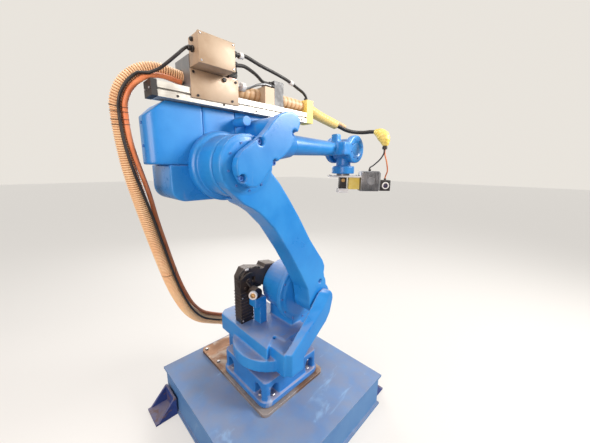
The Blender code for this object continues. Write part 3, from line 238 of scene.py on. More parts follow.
dust_and_reflection.links.new(maths(dust_and_reflection, "MULTIPLY", dust_and_reflection_share, given.outputs["Amount"]), result.inputs["Fac"])
print("groups", [tree.name for tree in (mottle, wear_and_highlight, dust_and_reflection)])

# %% [markdown]
# ## How a finish is made
#
# A finish takes its colour, a second colour that the mottle brings in, the colour of its edges, which is worn
# paint with a painted highlight, and the colour of its tops, which is dust with a painted reflection. The
# numbers say how rough and how metallic it is, how strong its edge wear and highlight are and how strong its
# dust and reflection are.

# %% Finish helpers
ROUGHNESS_BELOW, ROUGHNESS_ABOVE, DUST_ROUGHNESS, COAT_ROUGHNESS = 0.07, 0.08, 0.3, 0.25
SOFT_EDGE_SHARE = 0.75
GRAIN_DEPTH = 0.001
BAND_BLUR = 0.001
SCUFF_STRENGTH = 0.85


def grouped(tree, group, **values):
    """The result of a shared node group with the given input values."""
    node = tree.nodes.new("ShaderNodeGroup")
    node.node_tree = group
    for label, value in values.items():
        node.inputs[label].default_value = value
    return node.outputs["Fac"]


def blended(tree, factor, first, second):
    """A mix of two colours. Each is an output or three numbers."""
    node = tree.nodes.new("ShaderNodeMix")
    node.data_type = "RGBA"
    colours = [socket for socket in node.inputs if socket.type == "RGBA"]
    tree.links.new(factor, node.inputs["Factor"])
    for socket, value in zip(colours, (first, second)):
        feed(tree, socket, value if isinstance(value, bpy.types.NodeSocket) else (*value, 1.0))
    return next(socket for socket in node.outputs if socket.type == "RGBA")


def finish(
    name, colour, second, worn_and_highlight=None, dust_and_reflection_colour=None, rough=0.45, metal=0.0, width=0.004, wear_and_highlight_amount=0.6,
    dust_and_reflection_amount=0.5, scale=6.0, grain=900.0, bump=0.10, coat=0.0,
):
    """A material with mottle, edge wear and painted highlight, dust and painted reflection, uneven roughness,
    fine grain and softly rounded edges.
    """
    made = bpy.data.materials.new(name)
    made.use_nodes = True
    tree = made.node_tree
    surface = tree.nodes["Principled BSDF"]
    blotches = grouped(tree, mottle, Scale=scale)
    shade = blended(tree, blotches, colour, second)
    # Edges: rubbed paint with a painted highlight.
    if worn_and_highlight is not None:
        shade = blended(tree, grouped(tree, wear_and_highlight, Width=width, Amount=wear_and_highlight_amount), shade, worn_and_highlight)
    matt = ranged(tree, blotches, 0.0, 1.0, rough - ROUGHNESS_BELOW, rough + ROUGHNESS_ABOVE)
    # Faces that point up: dust with a painted reflection.
    if dust_and_reflection_colour is not None:
        dust_and_reflection_mask = grouped(tree, dust_and_reflection, Amount=dust_and_reflection_amount)
        shade = blended(tree, dust_and_reflection_mask, shade, dust_and_reflection_colour)
        matt = maths(tree, "ADD", matt, maths(tree, "MULTIPLY", dust_and_reflection_mask, DUST_ROUGHNESS))
    tree.links.new(shade, surface.inputs["Base Color"])
    tree.links.new(matt, surface.inputs["Roughness"])
    surface.inputs["Metallic"].default_value = metal
    surface.inputs["Coat Weight"].default_value = coat
    surface.inputs["Coat Roughness"].default_value = COAT_ROUGHNESS
    fine = put(tree, "ShaderNodeTexNoise", Vector=own_place(tree), Scale=grain, Detail=2.0)
    soft = put(tree, "ShaderNodeBevel", Radius=width * SOFT_EDGE_SHARE)
    soft.samples = BEVEL_SAMPLES
    relief = put(tree, "ShaderNodeBump", Strength=bump, Distance=GRAIN_DEPTH, Height=fine.outputs["Fac"])
    tree.links.new(soft.outputs["Normal"], relief.inputs["Normal"])
    tree.links.new(relief.outputs["Normal"], surface.inputs["Normal"])
    return made


def laid_over(made, factor, colour):
    """Mixes a colour over a finish, as far as the factor says."""
    surface = made.node_tree.nodes["Principled BSDF"]
    shade = surface.inputs["Base Color"].links[0].from_socket
    made.node_tree.links.new(blended(made.node_tree, factor, shade, colour), surface.inputs["Base Color"])


def along(made, axis, start, colour):
    """Recolours a finish beyond one place along an axis."""
    tree = made.node_tree
    where = put(tree, "ShaderNodeSeparateXYZ", Vector=own_place(tree))
    laid_over(made, ranged(tree, where.outputs[axis], start - BAND_BLUR, start + BAND_BLUR), colour)


def scuffed(made, colour, scale, low, high, stretch):
    """Adds pale scuffs or rust patches to a finish, where a stretched noise is high."""
    tree = made.node_tree
    spread = put(tree, "ShaderNodeMapping", Vector=own_place(tree), Scale=stretch)
    spots = put(
        tree, "ShaderNodeTexNoise", Vector=spread.outputs["Vector"], Scale=scale, Detail=7.0, Roughness=0.62,
        Distortion=0.6,
    )
    laid_over(made, ranged(tree, spots.outputs["Fac"], low, high, 0.0, SCUFF_STRENGTH), colour)


print("finish helpers ready")

# %% [markdown]
# ## The finishes
#
# The arm's blue paint is glossy and rubbed at its edges; its pale edge colour is partly a painted highlight,
# and its lavender tops are partly a painted reflection. The plinth's is paler and scuffed, and the plate on
# it is bare steel with rust. The rest are the small parts' metals, plastics, rubber and sheet.

# %% Finishes
# The lavender grey laid on upward faces is partly dust and partly a painted reflection.
DUST_AND_REFLECTION = (0.30, 0.29, 0.36)
BROWN_DUST = (0.30, 0.24, 0.20)
# The arm's pale edges are partly rubbed paint and partly a painted highlight.
paint = finish(
    "robot_blue", (0.012, 0.205, 0.60), (0.024, 0.275, 0.69), (0.46, 0.60, 0.74), DUST_AND_REFLECTION, rough=0.33,
    width=0.006, wear_and_highlight_amount=0.85, dust_and_reflection_amount=0.75, scale=3.5, grain=420.0, bump=0.22, coat=0.2,
)
# The base's pale edges are partly rubbed paint and partly a painted highlight.
base_paint = finish(
    "base_blue", (0.016, 0.155, 0.47), (0.030, 0.225, 0.62), (0.72, 0.74, 0.78), DUST_AND_REFLECTION, rough=0.36,
    width=0.006, wear_and_highlight_amount=0.8, dust_and_reflection_amount=0.95, scale=5.0, grain=420.0, bump=0.22,
)
plinth_blue = finish(
    "plinth_blue", (0.075, 0.215, 0.48), (0.12, 0.27, 0.52), (0.34, 0.32, 0.33), BROWN_DUST, rough=0.5,
    wear_and_highlight_amount=0.9, dust_and_reflection_amount=0.45, scale=4.0, grain=260.0, bump=0.2,
)
anchor_blue = finish(
    "anchor_blue", (0.020, 0.045, 0.20), (0.035, 0.075, 0.28), (0.22, 0.20, 0.20), BROWN_DUST, rough=0.55,
    wear_and_highlight_amount=0.9, dust_and_reflection_amount=0.6,
)
steel = finish(
    "bare_steel_plate", (0.36, 0.27, 0.20), (0.50, 0.43, 0.38), (0.74, 0.70, 0.66), BROWN_DUST, rough=0.46,
    metal=0.75, wear_and_highlight_amount=1.0, dust_and_reflection_amount=0.35, scale=7.0,
)
aluminium = finish(
    "aluminium", (0.50, 0.47, 0.42), (0.60, 0.57, 0.51), (0.92, 0.92, 0.92), BROWN_DUST, rough=0.36,
    metal=0.55, width=0.0015, dust_and_reflection_amount=0.18, scale=14.0, grain=1400.0,
)
bolt_steel = finish(
    "bolt_steel", (0.42, 0.43, 0.46), (0.58, 0.58, 0.60), (0.8, 0.8, 0.8), BROWN_DUST, rough=0.33,
    metal=0.9, width=0.0008, dust_and_reflection_amount=0.3, scale=60.0,
)
painted_bolt = finish(
    "painted_bolt", (0.030, 0.16, 0.52), (0.05, 0.21, 0.60), (0.55, 0.58, 0.62), DUST_AND_REFLECTION, rough=0.4,
    width=0.001, wear_and_highlight_amount=1.0, dust_and_reflection_amount=0.8, scale=50.0,
)
dark_bolt = finish(
    "black_oxide_bolt", (0.020, 0.020, 0.024), (0.05, 0.045, 0.05), (0.30, 0.28, 0.26), BROWN_DUST,
    rough=0.42, metal=0.6, width=0.0008, dust_and_reflection_amount=0.3, scale=60.0,
)
black = finish(
    "black_rubber", (0.012, 0.011, 0.011), (0.028, 0.024, 0.023), (0.10, 0.09, 0.085), BROWN_DUST, rough=0.5,
    width=0.0015, dust_and_reflection_amount=0.25, scale=20.0, grain=1200.0,
)
dark_plastic = finish(
    "dark_plastic", (0.045, 0.045, 0.050), (0.075, 0.070, 0.072), (0.22, 0.21, 0.20), BROWN_DUST, rough=0.42,
    width=0.002, dust_and_reflection_amount=0.4, scale=16.0, grain=900.0,
)
motor_black = finish(
    "motor_black", (0.014, 0.010, 0.009), (0.035, 0.024, 0.020), (0.20, 0.17, 0.15), BROWN_DUST, rough=0.38,
    width=0.003, dust_and_reflection_amount=0.55, scale=12.0, grain=500.0, bump=0.2,
)
sand = finish(
    "sand_sheet", (0.42, 0.29, 0.185), (0.50, 0.375, 0.255), (0.70, 0.60, 0.48), BROWN_DUST, rough=0.42,
    metal=0.12, width=0.0018, dust_and_reflection_amount=0.3, scale=8.0, grain=1500.0,
)
yellow = finish(
    "yellow_plastic", (0.86, 0.64, 0.11), (0.92, 0.72, 0.22), (0.92, 0.80, 0.50), BROWN_DUST, rough=0.42,
    width=0.0015, dust_and_reflection_amount=0.35, scale=16.0,
)
orange = finish(
    "orange_sheath", (0.72, 0.20, 0.07), (0.82, 0.30, 0.13), None, BROWN_DUST, rough=0.38,
    dust_and_reflection_amount=0.3, scale=12.0, grain=1000.0,
)
grey = finish(
    "grey_metal", (0.20, 0.21, 0.22), (0.30, 0.30, 0.31), (0.60, 0.60, 0.60), BROWN_DUST, rough=0.4,
    metal=0.7, width=0.0015, dust_and_reflection_amount=0.3, scale=18.0, grain=900.0,
)
white = finish(
    "white_enamel", (0.70, 0.68, 0.65), (0.80, 0.78, 0.75), (0.45, 0.43, 0.40), BROWN_DUST, rough=0.35,
    width=0.0015, dust_and_reflection_amount=0.25, scale=14.0,
)
pink = finish(
    "anodised_pink", (0.50, 0.30, 0.27), (0.60, 0.38, 0.34), (0.75, 0.66, 0.6), BROWN_DUST, rough=0.35,
    metal=0.5, width=0.0012, dust_and_reflection_amount=0.3, scale=20.0,
)
bronze = finish(
    "bronze", (0.50, 0.30, 0.12), (0.62, 0.40, 0.18), (0.8, 0.62, 0.35), BROWN_DUST, rough=0.32,
    metal=0.9, width=0.001, dust_and_reflection_amount=0.2, scale=30.0,
)
glass = finish(
    "lens_glass", (0.010, 0.012, 0.03), (0.03, 0.02, 0.06), None, None, rough=0.10, coat=1.0, bump=0.0,
)
scuffed(plinth_blue, (0.24, 0.38, 0.58), 3.4, 0.60, 0.72, (1.0, 2.4, 1.0))
scuffed(steel, (0.24, 0.11, 0.05), 4.0, 0.47, 0.60, (1.0, 1.0, 1.0))
scuffed(paint, (0.10, 0.28, 0.62), 9.0, 0.62, 0.72, (1.0, 1.0, 0.35))
scuffed(base_paint, (0.33, 0.38, 0.50), 7.0, 0.60, 0.70, (1.0, 1.0, 0.6))
scuffed(anchor_blue, (0.16, 0.10, 0.08), 14.0, 0.58, 0.68, (1.0, 1.0, 1.0))
print("finishes", len(bpy.data.materials))

# %% [markdown]
# ## The finish of each body
#
# Most solids keep their shape and only take a finish, by the material slot that the record gives them.

# %% Finishes on the solids
BY_SLOT = {
    "robot_paint": paint, "plinth_paint": plinth_blue, "anchor_paint": anchor_blue, "bare_steel": steel,
    "aluminium": aluminium, "black_plastic": black, "sand_sheet": sand, "yellow_tape": yellow,
    "orange_hose": orange, "grey_metal": grey, "white_paint": white,
}
BY_NODE = {
    "shoulder_motor": motor_black, "turret_motor": motor_black, "motor_connector": motor_black,
    "base_casting": base_paint, "connector_box": base_paint, "air_manifold": dark_plastic, "hose_clamp": sand,
}
for name, solid in frame["nodes"].items():
    for index, old in enumerate(solid.data.materials):
        solid.data.materials[index] = BY_SLOT[old.name.split(".")[0]]
for name, material in BY_NODE.items():
    frame["nodes"][name].data.materials[0] = material
print("solids with a finish", len(frame["nodes"]))

# %% [markdown]
# ## Floor and light
#
# The floor and the world are pale, and the camera sees them brighter than they light the arm. One strong lamp
# stands to the right of the camera, where the photograph's light comes from. Three weaker ones fill the left
# side, the top and the back.

# %% Floor and light
FLOOR_HALF = 30.0
FLOOR_COLOUR, SKY_COLOUR, PALE = (0.34, 0.33, 0.32, 1.0), (0.86, 0.88, 0.92, 1.0), (0.86, 0.82, 0.76, 1.0)
FLOOR_ROUGHNESS, FLOOR_GLOW = 0.7, 0.58
SKY_LIGHT, SKY_SEEN = 0.42, 0.95
# Each lamp: name, place, what it faces, width in metres, power in watts and colour.
LAMPS = (
    ("key", (2.5, -2.9, 3.3), (0.0, -0.1, 0.9), 1.6, 205.0, (1.0, 0.98, 0.95)),
    ("fill", (-3.4, -1.6, 2.0), (-0.3, 0.0, 1.2), 2.8, 100.0, (1.0, 0.82, 0.74)),
    ("top", (-0.4, 0.5, 4.2), (0.0, 0.0, 1.0), 2.0, 60.0, (1.0, 1.0, 1.0)),
    ("back", (1.8, 3.2, 2.6), (0.0, 0.0, 1.2), 2.4, 60.0, (1.0, 1.0, 1.0)),
)

floor_mesh = bpy.data.meshes.new("floor")
shape = bmesh.new()
bmesh.ops.create_grid(shape, x_segments=1, y_segments=1, size=FLOOR_HALF)
shape.to_mesh(floor_mesh)
shape.free()
floor_paint = bpy.data.materials.new("floor")
floor_paint.use_nodes = True
floor_tree = floor_paint.node_tree
floor_surface = floor_tree.nodes["Principled BSDF"]
floor_surface.inputs["Base Color"].default_value = FLOOR_COLOUR
floor_surface.inputs["Roughness"].default_value = FLOOR_ROUGHNESS
floor_surface.inputs["Emission Color"].default_value = PALE
floor_rays = floor_tree.nodes.new("ShaderNodeLightPath")
floor_glow = maths(floor_tree, "MULTIPLY", floor_rays.outputs["Is Camera Ray"], FLOOR_GLOW)
floor_tree.links.new(floor_glow, floor_surface.inputs["Emission Strength"])
floor_mesh.materials.append(floor_paint)
floor = linked("floor", floor_mesh)
floor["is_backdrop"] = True

world = bpy.data.worlds.new("pale")
bpy.context.scene.world = world
world.use_nodes = True
sky = world.node_tree
background = sky.nodes["Background"]
background.inputs["Color"].default_value = SKY_COLOUR
background.inputs["Strength"].default_value = SKY_LIGHT
seen = put(sky, "ShaderNodeBackground", Color=PALE, Strength=SKY_SEEN)
rays = sky.nodes.new("ShaderNodeLightPath")
either = maths(sky, "MAXIMUM", rays.outputs["Is Camera Ray"], rays.outputs["Is Glossy Ray"])
choose = sky.nodes.new("ShaderNodeMixShader")
for socket, value in zip(choose.inputs, (either, background.outputs[0], seen.outputs[0])):
    sky.links.new(value, socket)
sky.links.new(choose.outputs[0], sky.nodes["World Output"].inputs["Surface"])

for name, place, target, size, power, colour in LAMPS:
    light = bpy.data.lights.new(name, "AREA")
    light.shape = "DISK"
    light.size = size
    light.energy = power
    light.color = colour
    holder = linked(name, light)
    holder.location = place
    holder.rotation_euler = (Vector(target) - Vector(place)).to_track_quat("-Z", "Y").to_euler()
bpy.context.scene.view_settings.view_transform = "Standard"
print("lamps", len(bpy.data.lights))

# %% [markdown]
# ## Tools for shapes
#
# Each helper adds one closed form to a mesh that is being built: a bevelled box, a turned form, a tube or an
# extruded outline. Most are rings of points with faces between them.


# %% Shape helpers
def merged(target, source):
    """Adds one bmesh to another and frees it."""
    carrier = bpy.data.meshes.new("carrier")
    source.to_mesh(carrier)
    source.free()
    target.from_mesh(carrier)
    bpy.data.meshes.remove(carrier)


def add_box(target, low, high, bevel=0.002, turn=None):
    """A box between two corners, with rounded edges."""
    shape = bmesh.new()
    bmesh.ops.create_cube(shape, size=1.0)
    low, high = Vector(low), Vector(high)
    for vertex in shape.verts:
        vertex.co = Vector(low[axis] if vertex.co[axis] < 0 else high[axis] for axis in range(3))
    if bevel:
        bmesh.ops.bevel(shape, geom=shape.edges[:], offset=bevel, segments=2, profile=0.5, affect="EDGES")
    if turn is not None:
        shape.transform(turn)
    merged(target, shape)


def axis_matrix(place, direction):
    """The matrix that stands a form on a place, with its own Z axis along the direction."""
    return Matrix.Translation(place) @ Vector(direction).to_track_quat("Z", "Y").to_matrix().to_4x4()


def turns_of(steps):
    """The angles of equal steps round a circle."""
    return [math.tau * step / steps for step in range(steps)]


def level_ring(shape, radius, height, steps):
    """A ring of points round the Z axis, or one point where the radius is nothing."""
    if radius < 1e-6:
        return [shape.verts.new((0.0, 0.0, height))]
    return [
        shape.verts.new((radius * math.cos(turn), radius * math.sin(turn), height))
        for turn in turns_of(steps)
    ]


def join_rings(shape, rings):
    """Faces all the way round between each ring and the next. A ring may be a single point."""
    for lower_ring, upper_ring in zip(rings, rings[1:]):
        steps = max(len(lower_ring), len(upper_ring))
        for step in range(steps):
            after = (step + 1) % steps
            corners = (lower_ring[step % len(lower_ring)], lower_ring[after % len(lower_ring)],
                       upper_ring[after % len(upper_ring)], upper_ring[step % len(upper_ring)])
            unique = list(dict.fromkeys(corners))
            if len(unique) > 2:
                shape.faces.new(unique)


def add_turned(target, place, direction, profile, steps=40):
    """Turns (radius, height) pairs about a line through place. They start and end on the axis."""
    shape = bmesh.new()
    join_rings(shape, [level_ring(shape, radius, height, steps) for radius, height in profile])
    shape.transform(axis_matrix(place, direction))
    merged(target, shape)


def add_ring(target, place, direction, inner, outer, length, bevel=0.001, steps=32):
    """A collar round a hose: a closed ring with small chamfers."""
    shape = bmesh.new()
    outline = (
        (inner, 0.0), (outer - bevel, 0.0), (outer, bevel), (outer, length - bevel), (outer - bevel, length),
        (inner, length),
    )
    rings = [level_ring(shape, radius, height, steps) for radius, height in outline]
    join_rings(shape, rings + rings[:1])
    shape.transform(axis_matrix(place, direction))
    merged(target, shape)


print("boxes and turned forms ready")

# %% [markdown]
# A tube needs a side direction at each point of its route. You carry one side along the route and take out
# what points ahead at each step, so that the tube never twists. A prism is an outline pushed along one axis.


# %% Tubes and prisms
def directions(route):
    """The way a route runs at each of its points."""
    last = len(route) - 1
    return [
        (route[min(index + 1, last)] - route[max(index - 1, 0)]).normalized() for index in range(len(route))
    ]


def carried(route, side=None):
    """Each point of a route, the way it runs there, and a side that is carried along it without a twist."""
    for place, ahead in zip(route, directions(route)):
        if side is None:
            side = ahead.orthogonal().normalized()
        side = (side - ahead * side.dot(ahead)).normalized()
        yield place, ahead, side


def closed_skin(shape, rings):
    """The skin over a row of rings, with a face at each end."""
    join_rings(shape, rings)
    shape.faces.new(rings[0])
    shape.faces.new(rings[-1])


def add_tube(target, points, radius, sides=12):
    """A round tube along a route, closed at both ends."""
    shape = bmesh.new()
    closed_skin(shape, [
        [
            shape.verts.new(place + radius * (math.cos(turn) * side + math.sin(turn) * ahead.cross(side)))
            for turn in turns_of(sides)
        ]
        for place, ahead, side in carried([Vector(point) for point in points])
    ])
    merged(target, shape)


def add_prism(target, outline, start, end, axis):
    """Extrudes an outline along X, Y or Z. Its pairs are the other two coordinates, in order."""
    shape = bmesh.new()
    others = [index for index in range(3) if index != axis]
    ends = []
    for level in (start, end):
        ring = []
        for first, second in outline:
            place = [0.0, 0.0, 0.0]
            place[axis], place[others[0]], place[others[1]] = level, first, second
            ring.append(shape.verts.new(place))
        ends.append(ring)
        shape.faces.new(ring)
    for step in range(len(outline)):
        after = (step + 1) % len(outline)
        shape.faces.new((ends[0][step], ends[0][after], ends[1][after], ends[1][step]))
    merged(target, shape)


print("tubes and prisms ready")

# %% [markdown]
# A finished mesh becomes an object with a finish. It rides on its body, and it may take the place of a solid.


# %% Pieces
def piece(name, shape, body, material, slot, replaced=(), sharp=32.0):
    """Makes the built mesh an object with a finish, riding on its body."""
    bmesh.ops.recalc_face_normals(shape, faces=shape.faces[:])
    mesh = bpy.data.meshes.new(name)
    shape.to_mesh(mesh)
    shape.free()
    mesh.materials.append(material)
    mesh.shade_smooth()
    mesh.set_sharp_from_angle(angle=math.radians(sharp))
    made = linked(name, mesh)
    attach(made, body)
    if replaced:
        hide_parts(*replaced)
    return made


def baked(holder):
    """The object with its modifiers applied, as a plain mesh object with the same name."""
    bpy.context.view_layer.update()
    evaluated = holder.evaluated_get(bpy.context.evaluated_depsgraph_get())
    mesh = bpy.data.meshes.new_from_object(evaluated)
    name = holder.name
    bpy.data.objects.remove(holder)
    return linked(name, mesh)


print("helpers ready")

# %% [markdown]
# ## Cast iron and cast aluminium
#
# A casting has no sharp corners. You give each big solid a fine even mesh and smooth it a little, which
# rounds every edge and fills every inner corner, as a mould does. The rear casing first loses its upper rear
# corner, which the photograph shows cut off at a slope.

# %% Castings
# Each casting: solid, body, size of its even mesh in metres, rounds of smoothing and finish.
CASTINGS = (
    ("turret", "turret", 0.0054, 4, paint),
    ("base_casting", "base", 0.0052, 3, base_paint),
    ("connector_box", "base", 0.0035, 3, base_paint),
    ("lower_arm", "lower_arm", 0.0048, 4, paint),
    ("link_plate", "upper_arm", 0.0032, 4, paint),
    ("elbow_drum", "upper_arm", 0.0033, 3, paint),
    ("rear_casing", "upper_arm", 0.0048, 5, paint),
    ("middle_casing", "upper_arm", 0.0048, 3, paint),
    ("elbow_motor_cover", "upper_arm", 0.0046, 5, paint),
    ("forearm_head", "upper_arm", 0.0036, 4, paint),
    ("forearm_nose", "upper_arm", 0.0032, 3, paint),
    ("forearm_tube", "forearm", 0.0036, 54, paint),
    ("wrist_body", "wrist", 0.0028, 26, paint),
    ("motor_bracket", "turret", 0.0030, 3, paint),
    ("shoulder_motor", "turret", 0.0038, 3, motor_black),
    ("turret_motor", "turret", 0.0034, 3, motor_black),
)
SMOOTHING = 0.5
CASING_CUT_LENGTH, CASING_CUT_HEIGHT = 0.080, 0.065
WELD_GAP = 0.00001


def cut_corner(mesh, low, high):
    """Cuts the upper rear corner of the rear casing off at a slope."""
    shape = bmesh.new()
    shape.from_mesh(mesh)
    bmesh.ops.remove_doubles(shape, verts=shape.verts[:], dist=WELD_GAP)
    bmesh.ops.bisect_plane(
        shape, geom=shape.verts[:] + shape.edges[:] + shape.faces[:], clear_outer=True,
        plane_co=(low.x + CASING_CUT_LENGTH, 0.0, high.z),
        plane_no=(-CASING_CUT_HEIGHT, 0.0, CASING_CUT_LENGTH),
    )
    bmesh.ops.holes_fill(shape, edges=shape.edges[:], sides=0)
    shape.to_mesh(mesh)
    shape.free()


for name, body, voxel, rounds, material in CASTINGS:
    holder = linked(name + "_cast", frame["nodes"][name].data.copy())
    if name == "rear_casing":
        cut_corner(holder.data, *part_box(name))
    fine = holder.modifiers.new("fine", "REMESH")
    fine.mode = "VOXEL"
    fine.voxel_size = voxel
    soften = holder.modifiers.new("soften", "SMOOTH")
    soften.factor = SMOOTHING
    soften.iterations = rounds
    casting = baked(holder)
    casting.data.materials.clear()
    casting.data.materials.append(material)
    casting.data.shade_smooth()
    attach(casting, body)
    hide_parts(name)
    print(casting.name, len(casting.data.polygons))

# %% [markdown]
# ## Hoses
#
# One Geometry Nodes group makes every ribbed hose. It resamples the route, swells and narrows the tube with a
# sine along its length, and keeps that wave as an attribute, so the finish can paint shade into the grooves.


# %% The ribbed hose
RINGS_PER_RIB = 6.0
GEOMETRY = ("Geometry", "Geometry")


def with_nodes(holder, tree, values):
    """Puts a Geometry Nodes group on an object with its inputs set by name, and applies it."""
    nodes = holder.modifiers.new(tree.name, "NODES")
    nodes.node_group = tree
    for item in tree.interface.items_tree:
        if item.item_type == "SOCKET" and item.in_out == "INPUT" and item.name in values:
            nodes[item.identifier] = values[item.name]
    return baked(holder)


def hose_nodes():
    """The group that turns a route into a hose with ribs."""
    tree, given, result = new_group("RibbedHose", "Geometry", (
        GEOMETRY, ("Start Radius", "Float"), ("End Radius", "Float"), ("Depth", "Float"), ("Pitch", "Float"),
        ("Sides", "Int"), ("Material", "Material"),
    ), GEOMETRY)
    dense = put(
        tree, "GeometryNodeResampleCurve", Curve=given.outputs["Geometry"],
        Length=maths(tree, "DIVIDE", given.outputs["Pitch"], RINGS_PER_RIB),
    )
    dense.mode = "LENGTH"
    where = tree.nodes.new("GeometryNodeSplineParameter")
    turns = maths(tree, "DIVIDE", where.outputs["Length"], given.outputs["Pitch"])
    wave = maths(tree, "SINE", maths(tree, "MULTIPLY", turns, math.tau))
    crest = maths(tree, "MULTIPLY_ADD", wave, 0.5)
    crest.node.inputs[2].default_value = 0.5
    step = maths(tree, "SUBTRACT", given.outputs["End Radius"], given.outputs["Start Radius"])
    plain = maths(tree, "MULTIPLY", step, where.outputs["Factor"])
    plain = maths(tree, "ADD", plain, given.outputs["Start Radius"])
    dip = maths(tree, "MULTIPLY", given.outputs["Depth"], maths(tree, "SUBTRACT", 1.0, crest))
    radius = maths(tree, "SUBTRACT", plain, dip)
    marked = put(
        tree, "GeometryNodeStoreNamedAttribute", Geometry=dense.outputs["Curve"], Name="rib", Value=crest,
    )
    marked.domain = "POINT"
    ring = put(tree, "GeometryNodeCurvePrimitiveCircle", Resolution=given.outputs["Sides"], Radius=1.0)
    skin = put(
        tree, "GeometryNodeCurveToMesh", Curve=marked.outputs["Geometry"], Scale=radius, Fill_Caps=True,
        Profile_Curve=ring.outputs["Curve"],
    )
    smooth = put(tree, "GeometryNodeSetShadeSmooth", Geometry=skin.outputs["Mesh"])
    finished = put(
        tree, "GeometryNodeSetMaterial", Geometry=smooth.outputs["Geometry"],
        Material=given.outputs["Material"],
    )
    tree.links.new(finished.outputs["Geometry"], result.inputs["Geometry"])
    return tree


hose_tree = hose_nodes()
print("hose group", hose_tree.name)

# %% [markdown]
# A hose's route is a short list of places. A smooth curve runs through them all, and a ribbed hose is that
# curve with the group on it.


# %% Routes and ribbed hoses
HOSE_SPACING = 0.012
GROOVE_SHADE_RANGE = (0.05, 0.55)


def smooth_points(points, spacing):
    """Points of a smooth curve through the given ones, with the given spacing at most."""
    points = [Vector(point) for point in points]
    first = points[0] * 2 - points[1]
    last = points[-1] * 2 - points[-2]
    padded = [first] + points + [last]
    route = []
    for before, start, end, after in zip(padded, padded[1:], padded[2:], padded[3:]):
        steps = max(1, math.ceil((end - start).length / spacing))
        for step in range(steps):
            share = step / steps
            route.append(0.5 * (
                2 * start + (end - before) * share
                + (2 * before - 5 * start + 4 * end - after) * share ** 2
                + (3 * start - before - 3 * end + after) * share ** 3
            ))
    return route + [points[-1]]


def curve_object(name, points):
    """A curve object of straight steps through the points."""
    curve = bpy.data.curves.new(name, "CURVE")
    curve.dimensions = "3D"
    spline = curve.splines.new("POLY")
    spline.points.add(len(points) - 1)
    for knot, point in zip(spline.points, points):
        knot.co = (*point, 1.0)
    return linked(name, curve)


def ribbed(
    name, points, material, body, replaced=(), start_radius=0.03, end_radius=0.03, depth=0.002,
    pitch=0.01, sides=24,
):
    """A ribbed hose along a route, whose radius runs evenly from its start to its end."""
    made = with_nodes(curve_object(name, smooth_points(points, HOSE_SPACING)), hose_tree, {
        "Start Radius": start_radius, "End Radius": end_radius, "Depth": depth, "Pitch": pitch,
        "Sides": sides, "Material": material,
    })
    if not made.data.materials:
        made.data.materials.append(material)
    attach(made, body)
    if replaced:
        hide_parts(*replaced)
    print(made.name, len(made.data.polygons))
    return made


def ribbed_finish(name, crest, groove_shade, second, rough):
    """The finish of a ribbed hose, with painted shade darkening the grooves between its ribs."""
    made = finish(
        name, crest, second, None, BROWN_DUST, rough=rough, dust_and_reflection_amount=0.25, scale=9.0, grain=1000.0,
    )
    rib = made.node_tree.nodes.new("ShaderNodeAttribute")
    rib.attribute_name = "rib"
    # Painted shade: the groove colour darkens the hollows between the ribs.
    laid_over(made, ranged(made.node_tree, rib.outputs["Fac"], *GROOVE_SHADE_RANGE, 1.0, 0.0), groove_shade)
    return made


print("hose helpers ready")

# %% [markdown]
# ## The three hoses
#
# The cream hose comes up from the base to the carriage. A hose wrapped in tape goes on along the rail, and a
# black sleeve ends at the wrist. Each route repeats the one that the model gives.

# %% The three hoses
CORRUGATED = (
    (-0.410, 0.030, 1.951), (-0.460, 0.030, 1.951), (-0.533, 0.030, 1.960), (-0.590, 0.036, 1.950),
    (-0.636, 0.043, 1.920), (-0.667, 0.052, 1.883), (-0.685, 0.065, 1.838), (-0.687, 0.080, 1.790),
    (-0.681, 0.091, 1.682), (-0.665, 0.101, 1.560), (-0.637, 0.116, 1.431), (-0.586, 0.150, 1.230),
    (-0.513, 0.210, 0.980), (-0.450, 0.260, 0.820), (-0.382, 0.320, 0.695), (-0.292, 0.390, 0.583),
    (-0.175, 0.450, 0.490), (-0.095, 0.470, 0.440), (-0.040, 0.465, 0.392), (-0.015, 0.435, 0.360),
    (-0.010, 0.395, 0.350), (-0.010, 0.360, 0.350), (-0.010, 0.3258, 0.350),
)
TAPED = (
    (-0.4096, 0.030, 1.951), (-0.340, 0.030, 1.951), (-0.200, 0.024, 1.947), (0.050, 0.000, 1.945),
    (0.290, -0.010, 1.935), (0.422, -0.005, 1.909), (0.551, 0.000, 1.887), (0.610, 0.000, 1.877),
)
WRIST_HOSE = (
    (0.6108, 0.000, 1.8769), (0.668, -0.002, 1.866), (0.740, -0.005, 1.852), (0.800, -0.030, 1.842),
    (0.845, -0.085, 1.838), (0.850, -0.150, 1.838), (0.845, -0.210, 1.828), (0.842, -0.255, 1.800),
    (0.842, -0.270, 1.750), (0.842, -0.270, 1.710),
)
YELLOW_FROM_X = 0.245
HOSE_START_RADIUS, HOSE_END_RADIUS = 0.0284, 0.0330
# For each hose, the colour after the crest colour is painted shade for its grooves.
cream = ribbed_finish("corrugated_cream", (0.92, 0.66, 0.38), (0.44, 0.20, 0.08), (0.90, 0.56, 0.30), 0.42)
peach = ribbed_finish("taped_hose", (0.80, 0.50, 0.27), (0.60, 0.33, 0.15), (0.84, 0.58, 0.35), 0.42)
along(peach, "X", YELLOW_FROM_X, (0.82, 0.60, 0.20))
sleeve = ribbed_finish(
    "wrist_sleeve", (0.022, 0.019, 0.018), (0.006, 0.005, 0.005), (0.04, 0.035, 0.03), 0.45,
)

